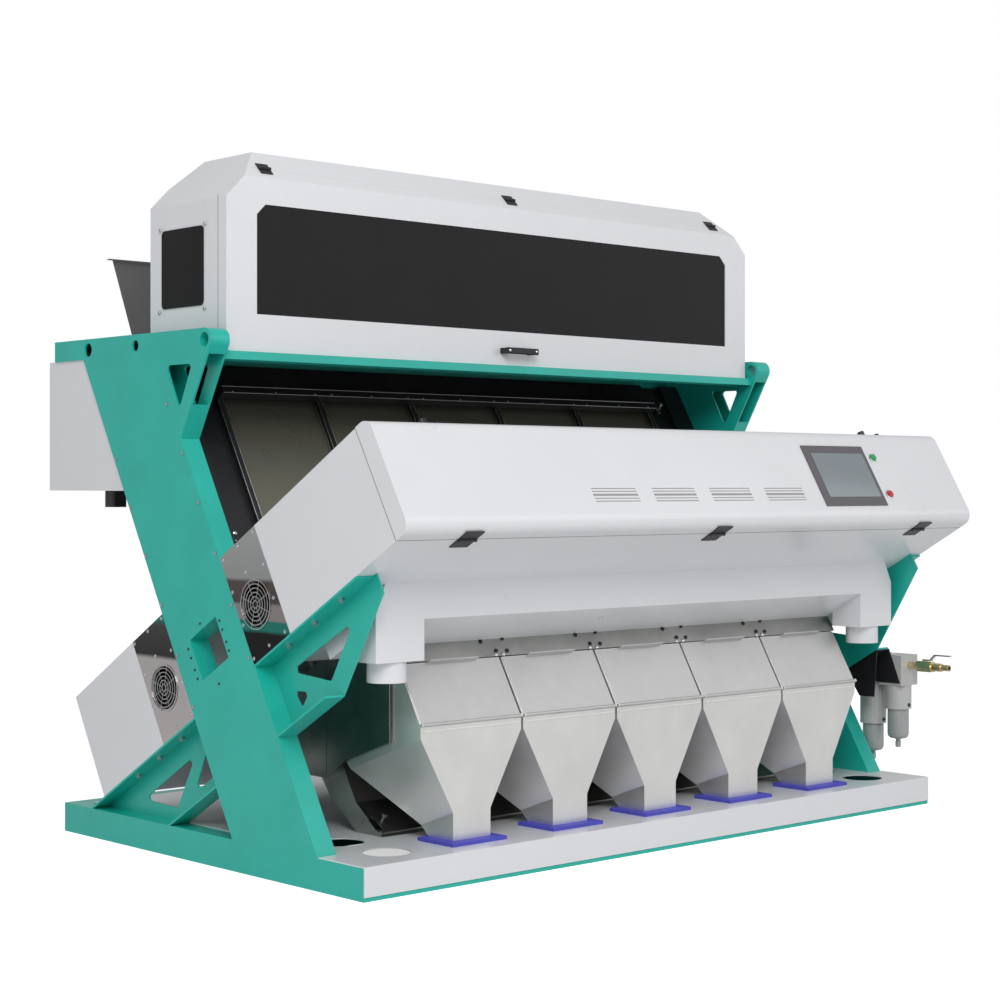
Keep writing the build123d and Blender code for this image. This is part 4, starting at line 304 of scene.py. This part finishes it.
# %% [markdown]
# ## Building small pieces from formulas
#
# Every small piece is a surface over a grid: a profile turned about an axis, or a section
# carried along a path. Whole arrays of points come from one formula, and the helpers below
# only stitch them into quads. Sizes are given in millimetres and places in metres.

# %% Helpers: surfaces over a grid


def unit(vector):
    """The vector or vectors scaled to length one."""
    vector = np.asarray(vector, float)
    return vector / np.linalg.norm(vector, axis=-1, keepdims=True)


def grid(points, wrap_rows=False, wrap_columns=False):
    """Vertices and quads of points laid out as rows and columns."""
    rows, columns = points.shape[:2]
    row, column = np.meshgrid(
        np.arange(rows if wrap_rows else rows - 1),
        np.arange(columns if wrap_columns else columns - 1),
        indexing="ij",
    )
    below, right = (row + 1) % rows, (column + 1) % columns
    here, under = row * columns, below * columns
    corners = (here + column, under + column, under + right, here + right)
    return points.reshape(-1, 3), np.stack(corners, axis=-1).reshape(-1, 4)


def turned(profile, centre, axis, sides=24, closed=False):
    """A profile of (radius, height) pairs in mm, turned about an axis through centre.

    centre + radius(t) * (cos(a) * side + sin(a) * other) + height(t) * axis.
    """
    profile = np.asarray(profile, float) / 1000.0
    axis = unit(axis)
    side = unit(np.cross(axis, UP if abs(axis[0]) > 0.7 else RIGHT))
    angle = np.linspace(0.0, 2.0 * math.pi, sides, endpoint=False)
    spokes = np.cos(angle)[:, None] * side + np.sin(angle)[:, None] * np.cross(axis, side)
    radius, height = profile[:, 0, None, None], profile[:, 1, None, None]
    points = np.asarray(centre) + radius * spokes + height * axis
    return grid(points, wrap_rows=closed, wrap_columns=True)


def carried(section, path, across, closed=False):
    """A section of (across, out) pairs in mm, carried along a path of points in metres.

    path(t) + a(s) * across(t) + o(s) * out(t), with out square to the path and to across.
    """
    path = np.asarray(path, float)
    ahead = np.roll(path, -1, axis=0) - np.roll(path, 1, axis=0)
    if not closed:
        ahead[0], ahead[-1] = path[1] - path[0], path[-1] - path[-2]
    ahead = unit(ahead)
    across = np.broadcast_to(np.asarray(across, float), path.shape)
    across = unit(across - (across * ahead).sum(axis=-1, keepdims=True) * ahead)
    out = np.cross(ahead, across)
    section = np.asarray(section, float) / 1000.0
    points = (
        path[:, None]
        + section[None, :, 0, None] * across[:, None]
        + section[None, :, 1, None] * out[:, None]
    )
    if not closed:
        caps = path[[0, -1], None] + np.zeros((1, len(section), 1))
        points = np.concatenate((caps[:1], points, caps[1:]))
    return grid(points, wrap_rows=closed, wrap_columns=True)


def circle(radius, sides=6):
    """Round section of a wire."""
    angle = np.linspace(0.0, 2.0 * math.pi, sides, endpoint=False)
    return radius * np.stack((np.cos(angle), np.sin(angle)), axis=-1)


def rounded(width, height, radius, steps=3):
    """Section of a flat bar with rounded corners, centred on the path."""
    turn = np.linspace(0.0, math.pi / 2.0, steps)
    corners = []
    for quarter, (sx, sy) in enumerate(((1, 1), (-1, 1), (-1, -1), (1, -1))):
        angle = turn + quarter * math.pi / 2.0
        centre = (sx * (width / 2.0 - radius), sy * (height / 2.0 - radius))
        arc = radius * np.stack((np.cos(angle), np.sin(angle)), axis=-1)
        corners.append(np.asarray(centre) + arc)
    return np.concatenate(corners)


def ring(centre, axis, radius, count=48):
    """Points of a circle of a radius in mm about an axis."""
    side = unit(np.cross(axis, UP if abs(axis[0]) > 0.7 else RIGHT))
    angle = np.linspace(0.0, 2.0 * math.pi, count, endpoint=False)[:, None]
    other = np.cross(unit(axis), side)
    return np.asarray(centre) + radius / 1000.0 * (np.cos(angle) * side + np.sin(angle) * other)


def piece(name, parts, material, body, crease=35.0):
    """One object made of several surfaces, with outward faces, riding on a body."""
    start, points, faces = 0, [], []
    for part_points, part_faces in parts:
        points.append(part_points)
        faces.append(part_faces + start)
        start += len(part_points)
    mesh = bpy.data.meshes.new(name)
    mesh.from_pydata(np.concatenate(points).tolist(), [], np.concatenate(faces).tolist())
    shape = bmesh.new()
    shape.from_mesh(mesh)
    bmesh.ops.remove_doubles(shape, verts=shape.verts, dist=1e-6)
    bmesh.ops.dissolve_degenerate(shape, edges=shape.edges, dist=1e-7)
    bmesh.ops.recalc_face_normals(shape, faces=shape.faces)
    shape.to_mesh(mesh)
    shape.free()
    mesh.polygons.foreach_set("use_smooth", np.ones(len(mesh.polygons), bool))
    mesh.set_sharp_from_angle(angle=math.radians(crease))
    mesh.materials.append(material)
    made = bpy.data.objects.new(name, mesh)
    bpy.context.collection.objects.link(made)
    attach(made, body)
    print(f"{name}: {len(mesh.polygons)} faces on {body}")
    return made


# %% [markdown]
# ## One screw head for the whole machine
#
# A pan head is a low dome with a sunk recess. Its profile is given for a radius and a
# height of one, so the same line of numbers serves every size of screw and rivet.

# %% Helpers: fasteners that repeat
SCREW_PROFILE = ((0.0, 0.55), (0.30, 0.55), (0.36, 1.0), (0.72, 0.9), (1.0, 0.4), (1.0, 0.0), (0.0, 0.0))


def screw(centre, normal, radius, height=0.0, sides=10):
    """Pan head with a sunk recess, standing on a surface."""
    height = height or 0.55 * radius
    return turned([(radius * r, height * h) for r, h in SCREW_PROFILE], centre, normal, sides)


def screws(name, places, normal, radius, material, body, height=0.0):
    """One object with a screw head at each place in metres."""
    parts = [screw(place, normal, radius, height) for place in np.asarray(places).reshape(-1, 3)]
    return piece(name, parts, material, body)


def places(xs, us, vs):
    """Points on the leaning frame for every combination of x, u and v in mm."""
    x, u, v = np.meshgrid(xs, us, vs, indexing="ij")
    return lean_point(x.ravel(), u.ravel(), v.ravel())

# %% [markdown]
# ## Guards over the fans
#
# Each guard is a set of welded wire rings with eight spokes. The CAD guards have flat
# sides to stay light, so round wires take their place: a small circle is carried round
# each ring, and a thinner one along each spoke.

# %% Wire guards
GUARD_CENTRES = ((-600.0, 506.0), (-83.0, 506.0))
GUARD_RINGS = (67.5, 56.0, 44.5, 33.0, 21.5, 10.0)
RING_FACE, SPOKE_FACE = 1201.5, 1202.0


def spoke(x, u, v, angle):
    """Straight path outwards from the hub: (u, v) + r * (cos(angle), sin(angle))."""
    reach = np.linspace(GUARD_RINGS[-1], GUARD_RINGS[0], 5)
    return lean_point(x, u + reach * math.cos(angle), v + reach * math.sin(angle))


wires = []
for side in (-1.0, 1.0):
    for u, v in GUARD_CENTRES:
        centre = lean_point(side * RING_FACE, u, v)
        wires += [carried(circle(1.4), ring(centre, RIGHT, r), RIGHT, closed=True) for r in GUARD_RINGS]
        angles = np.radians(np.arange(0.0, 360.0, 45.0))
        wires += [carried(circle(0.9), spoke(side * SPOKE_FACE, u, v, angle), RIGHT) for angle in angles]
guard_wires = piece("guard_wires", wires, ZINC, "machine")
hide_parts("fan_guards")

# %% [markdown]
# ## Screws and rivets
#
# Sheet metal is held by rows of low pan heads. One profile, turned about the surface's
# normal, makes them all. The sunk ring in the middle stands for the driver recess.

# %% Screws of the stainless strips and the windows
STRIP_ROWS = {
    (-681.0, -520.0): (685.0, 585.0, 484.0, 382.0), (-600.5,): (685.0, 605.0, 382.0),
    (-167.5, -5.0): (686.0, 584.0, 482.0, 381.0), (-86.0,): (686.0, 606.0, 381.0),
}
RIVET_SPOTS = [(u, v) for u in (-425.0, -248.0) for v in (547.0, 519.0, 481.0, 454.0)]
RIVET_SPOTS += [(-336.0, 583.0), (-336.0, 396.0)]
WINDOW_SCREWS = np.array(((325.6, 1813.1), (95.0, 1811.9), (97.6, 1570.0), (330.4, 1571.1)))
for side, word in ((-1.0, "left"), (1.0, "right")):
    spots = np.concatenate([places((side * 1200.0,), us, vs) for us, vs in STRIP_ROWS.items()])
    screws(f"{word}_strip_screws", spots, side * RIGHT, 5.5, ZINC, "machine", 2.6)
    spots = lean_point(side * 1200.0, *np.array(RIVET_SPOTS).T)
    screws(f"{word}_window_rivets", spots, side * RIGHT, 4.0, BLACK, "machine", 2.0)
    spots = point(side * 1120.0, *WINDOW_SCREWS.T)
    screws(f"{word}_hood_window_screws", spots, side * RIGHT, 6.0, ZINC, "machine", 4.0)

# %% [markdown]
# ## Operator panel
#
# The screen is a grey bezel with a slightly darker glass let into it, and both buttons sit
# in a bright ring. The rings are closed profiles turned about the direction of pressing.

# %% Display glass and button rings
OUTWARD = -ACROSS
SCREEN_X, SCREEN_V, SCREEN_FACE = (506.0, 760.0), (450.0, 606.0), -1272.4
BUTTONS_X, BUTTONS_V, COVER_FACE = 812.0, (593.0, 460.0), -1268.0
BEZEL_PROFILE = ((11.6, 0.0), (11.6, 2.2), (13.0, 3.0), (15.0, 2.4), (15.8, 0.0))
middle_v = np.mean(SCREEN_V)
glass_path = lean_point(np.array(SCREEN_X), SCREEN_FACE, middle_v)
glass_section = rounded(SCREEN_V[1] - SCREEN_V[0], 1.0, 0.45)
piece("display_glass", [carried(glass_section, glass_path, ALONG)], DISPLAY, "front_cover")
bezels = [
    turned(BEZEL_PROFILE, lean_point(BUTTONS_X, COVER_FACE, v), OUTWARD, closed=True) for v in BUTTONS_V
]
piece("button_rings", bezels, BRIGHT, "front_cover")

# %% [markdown]
# ## Vents and seams
#
# Behind each slot of the cover lies the folded edge of a louvre, which shows as a grey
# line. Cover and hood door meet their boxes in narrow gaps. Both are drawn as very thin
# rounded bars, because a real gap would need new edges in the CAD solids. The dark bars
# in the gaps are painted shade, standing for the shadow inside each gap.

# %% Louvre bars behind the vents
VENT_XS, VENT_HALF, VENT_V = (-419.0, -178.0, 63.0, 305.0), 86.0, 463.0
VENT_SLOTS = ((-20.0, 2.6), (-11.0, 2.6), (0.0, 6.6), (11.0, 2.6), (20.0, 2.6))
louvres = []
for x in VENT_XS:
    for rise, height in VENT_SLOTS:
        path = lean_point(np.array((x - VENT_HALF, x + VENT_HALF)), -1266.9, VENT_V + rise)
        louvres.append(carried(rounded(height, 1.0, 0.4, 2), path, ALONG))
piece("vent_louvres", louvres, LOUVRE, "front_cover")

# %% Seams of the cover and the hood door
# The dark bars below are painted shade in the gaps around the cover and the hood door.
SEAM = rounded(1.6, 0.8, 0.3, 2)
END_X, COVER_U, BOX_V = 1200.2, -1209.0, (368.0, 694.0)
seams = [
    carried(SEAM, lean_point(side * END_X, COVER_U, np.array(BOX_V)), ACROSS) for side in (-1.0, 1.0)
]
for v in (BOX_V[0] - 1.1, BOX_V[1] + 1.1):
    seams.append(carried(SEAM, lean_point(np.array((-1198.0, 1198.0)), COVER_U, v), ACROSS))
HOOD_X, DOOR_Y, DOOR_Z = 1117.2, 33.0, (1446.0, 1890.0)
for side in (-1.0, 1.0):
    seams.append(carried(SEAM, point(side * HOOD_X, DOOR_Y, np.array(DOOR_Z)), FRONT))
piece("seam_gap_shade_bars", seams, GAP_PAINTED_SHADE, "machine")

# %% [markdown]
# ## Chute edges
#
# Every slide ends in a folded lip that catches the light, and the black dividers show a
# bare bright edge where the paint is cut. They are thin bars with rounded corners, carried
# straight along the edge they follow.

# %% Lips, bright edges and standoffs
CHUTES = (-748.0, -374.0, 0.0, 374.0, 748.0)
DIVIDERS = (-935.0, -561.0, -187.0, 187.0, 561.0, 935.0)
THIN = rounded(2.4, 1.6, 0.7, 2)


def bar_x(x0, x1, u, v, section=THIN):
    """Bar from x0 to x1 at one u and v: its path is a straight line along x."""
    return carried(section, lean_point(np.array((x0, x1)), u, v), ALONG)


def bar_v(x, u, v0, v1, section=THIN):
    """Bar from v0 to v1 at one x and u: its path is a straight line up the lean."""
    return carried(section, lean_point(x, u, np.array((v0, v1))), RIGHT)


lips = [bar_x(c - 170.0, c + 170.0, -395.0, v) for c in CHUTES for v in (1324.0, 1316.0)]
lips += [bar_x(-941.0, 941.0, -446.6, v) for v in (1311.0, 1289.0)]
piece("slide_lips", lips, ZINC, "machine")
edges = [bar_v(x + s * 9.2, -412.6, 695.0, 1286.0) for x in DIVIDERS for s in (-1.0, 1.0)]
edges += [bar_v(c - 170.0, -393.0, 700.0, 1286.0) for c in CHUTES]
piece("divider_edges", edges, ZINC, "machine")
posts = [screw(lean_point(c + s * 134.0, -394.0, 1308.0), OUTWARD, 5.0, 8.0) for c in CHUTES for s in (-1, 1)]
BAR_DOTS = (-160.0, 0.0, 150.0)
posts += [
    screw(lean_point(c + x, -446.4, 1294.0), OUTWARD, 3.0, 1.6) for c in CHUTES for x in BAR_DOTS
]
posts += [screw(lean_point(-1043.0, -415.0, 828.0), OUTWARD, 7.0, 3.0)]
posts += [screw(lean_point(-1050.0, -415.0, 802.0), OUTWARD, 3.0, 2.0)]
piece("chute_standoffs", posts, BRIGHT, "machine")

# %% [markdown]
# ## Inspection doors
#
# The doors of the outlet hoppers hang on a rolled hinge with short knuckles. A pair of
# bolts holds each door joint, and two dark catches sit on the strip above it.

# %% Hinge knuckles, bolts and catches
CREASE_U, CREASE_V = -761.756, 39.40
JOINTS = (-561.0, -187.0, 187.0, 561.0)
DOOR_PIN = (CREASE_U - 5.5, CREASE_V + 4.0)
KNUCKLE_PROFILE = ((0.0, 0.0), (4.2, 0.0), (4.8, 0.8), (4.8, 29.2), (4.2, 30.0), (0.0, 30.0))
for number, centre_x in enumerate(CHUTES, start=1):
    starts = centre_x + np.arange(-150.0, 130.0, 60.0)
    knuckles = [turned(KNUCKLE_PROFILE, lean_point(x, *DOOR_PIN), RIGHT, 16) for x in starts]
    piece(f"door_{number}_knuckles", knuckles, DOOR_STEEL, f"outlet_door_{number}")
spots = np.concatenate([lean_point(np.array((x - 14.0, x + 14.0)), -764.8, 233.0) for x in JOINTS])
screws("door_joint_bolts", spots, OUTWARD, 6.5, BRIGHT, "machine", 5.0)
CATCHES = ((-53.0, 276.0), (31.0, 281.0), (-8.0, 245.0), (33.0, 243.0))
spots = np.concatenate([lean_point(x + dx, -764.8, v)[None] for x in JOINTS for dx, v in CATCHES])
screws("door_catches", spots, OUTWARD, 6.5, BLACK, "machine", 5.0)
fold_section = rounded(5.0, 2.4, 1.1)
fold_y, fold_z = -641.0, 402.0
folds = [
    carried(fold_section, point(np.array((c - 174.0, c + 174.0)), fold_y, fold_z), UP) for c in CHUTES
]
piece("hopper_fold_beads", folds, STEEL, "machine")

# %% [markdown]
# ## Air unit
#
# The filter bowls are moulded shells of revolution: a straight wall, a round shoulder and
# a knurled drain plug below. One profile makes the whole bowl, with smooth sides instead
# of the twelve flat ones of the CAD solid.

# %% Filter bowls with their drains, and lock buttons
AIR_X, FILTER_YS = 1250.0, (-578.0, -473.0)
BODY_FEET, BOWL_FEET = (302.0, 245.0), (200.0, 150.0)
bowls, locks = [], []
for y, body_foot, bowl_foot in zip(FILTER_YS, BODY_FEET, BOWL_FEET):
    tall = body_foot - bowl_foot
    wall = ((0.0, tall), (36.0, tall), (36.0, 16.0), (34.0, 8.0), (28.0, 2.0), (20.0, 0.0), (9.4, 0.0))
    drain = ((9.4, -4.0), (7.6, -5.0), (7.6, -9.0), (9.4, -10.0), (9.4, -28.0), (7.0, -30.0), (0.0, -30.0))
    bowls.append(turned(wall + drain, point(AIR_X, y, bowl_foot), UP, 40))
    locks.append(screw(point(AIR_X, y - 44.0, body_foot + 14.0), FRONT, 7.0, 4.0))
bowl_shells = piece("bowl_shells", bowls, BOWL, "machine")
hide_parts("filter_bowls")
piece("bowl_lock_buttons", locks, PLASTIC, "machine")

# %% [markdown]
# ## Handle screws
#
# Two bright screws hold the feet of the hood's handle. They ride on the hood door, so
# they swing up with it.

# %% Screws of the hood handle
screws("handle_screws", point(np.array((-57.5, 57.5)), -46.0, 1489.0), FRONT, 4.5, BRIGHT, "hood_door", 2.5)

# %% [markdown]
# ## Camera
#
# The photograph was taken from the left front at chest height with a longish lens, and
# all uprights stay upright in it. A level camera turned 42.4 degrees, with a very small
# vertical shift in place of a tilt, gives the same picture.

# %% Camera at the photograph's viewpoint
lens = bpy.data.cameras.new("portrait_lens")
lens.sensor_width = 36.0
lens.lens = 36.0 * 2.036
lens.shift_y = -0.0143
lens.clip_end = 60.0
camera = bpy.data.objects.new("portrait_camera", lens)
camera.location = (-4.432, -4.788, 1.060)
camera.rotation_euler = (math.radians(90.0), 0.0, -math.atan2(0.6743, 0.7385))
bpy.context.collection.objects.link(camera)
bpy.context.scene.camera = camera
print("camera azimuth:", round(math.degrees(camera.rotation_euler.z), 1))

# %% [markdown]
# ## Floor, background and light
#
# A pale floor keeps the machine's shadow. The world lights it evenly from all round, and
# shows white to the camera and to transmission rays without adding light. Two large soft
# lamps give the slanted faces their different tones.

# %% Floor
FLOOR_GLOW = 0.6  # added for the camera alone, so that the lit floor meets the white background
floor_mesh = bpy.data.meshes.new("studio_floor")
floor_mesh.from_pydata([(-30, -30, 0), (30, -30, 0), (30, 30, 0), (-30, 30, 0)], [], [(0, 1, 2, 3)])
floor = bpy.data.objects.new("studio_floor", floor_mesh)
bpy.context.collection.objects.link(floor)
floor_paint = bpy.data.materials.new("pale_floor")
floor_paint.use_nodes = True
floor_paint.node_tree.nodes["Principled BSDF"].inputs["Base Color"].default_value = (0.86, 0.86, 0.86, 1.0)
floor_paint.node_tree.nodes["Principled BSDF"].inputs["Roughness"].default_value = 0.75
floor_shader = floor_paint.node_tree.nodes["Principled BSDF"]
floor_shader.inputs["Emission Color"].default_value = (1.0, 1.0, 1.0, 1.0)
floor_rays = floor_paint.node_tree.nodes.new("ShaderNodeLightPath")
glow = floor_paint.node_tree.nodes.new("ShaderNodeMath")
glow.operation = "MULTIPLY"
glow.inputs[1].default_value = FLOOR_GLOW
floor_paint.node_tree.links.new(floor_rays.outputs["Is Camera Ray"], glow.inputs[0])
floor_paint.node_tree.links.new(glow.outputs["Value"], floor_shader.inputs["Emission Strength"])
floor_mesh.materials.append(floor_paint)

# %% World: even light, white for the camera and for transmission rays
world = bpy.data.worlds.new("studio_world")
world.use_nodes = True
bpy.context.scene.world = world
tree = world.node_tree
tree.nodes.clear()
rays = tree.nodes.new("ShaderNodeLightPath")
seen = tree.nodes.new("ShaderNodeMath")
seen.operation = "MAXIMUM"
even = tree.nodes.new("ShaderNodeBackground")
even.inputs["Color"].default_value = (1.0, 1.0, 1.0, 1.0)
even.inputs["Strength"].default_value = 0.5
white = tree.nodes.new("ShaderNodeBackground")
white.inputs["Color"].default_value = (1.0, 1.0, 1.0, 1.0)
white.inputs["Strength"].default_value = 1.0
choose = tree.nodes.new("ShaderNodeMixShader")
out = tree.nodes.new("ShaderNodeOutputWorld")
tree.links.new(rays.outputs["Is Camera Ray"], seen.inputs[0])
tree.links.new(rays.outputs["Is Transmission Ray"], seen.inputs[1])
tree.links.new(seen.outputs["Value"], choose.inputs["Fac"])
tree.links.new(even.outputs["Background"], choose.inputs[1])
tree.links.new(white.outputs["Background"], choose.inputs[2])
tree.links.new(choose.outputs["Shader"], out.inputs["Surface"])


def soft_lamp(name, place, aim, size, watts):
    """Square area lamp at place, turned so that it points at aim."""
    data = bpy.data.lights.new(name, "AREA")
    data.size = size
    data.energy = watts
    lamp = bpy.data.objects.new(name, data)
    lamp.location = place
    lamp.rotation_euler = (Vector(aim) - Vector(place)).to_track_quat("-Z", "Y").to_euler()
    bpy.context.collection.objects.link(lamp)
    return lamp


soft_lamp("key_lamp", (-4.5, -5.5, 5.5), (0.0, -0.2, 0.9), 4.0, 330.0)
soft_lamp("fill_lamp", (4.5, -5.0, 3.5), (0.0, -0.2, 0.9), 4.0, 50.0)
bpy.context.scene.view_settings.view_transform = "Standard"
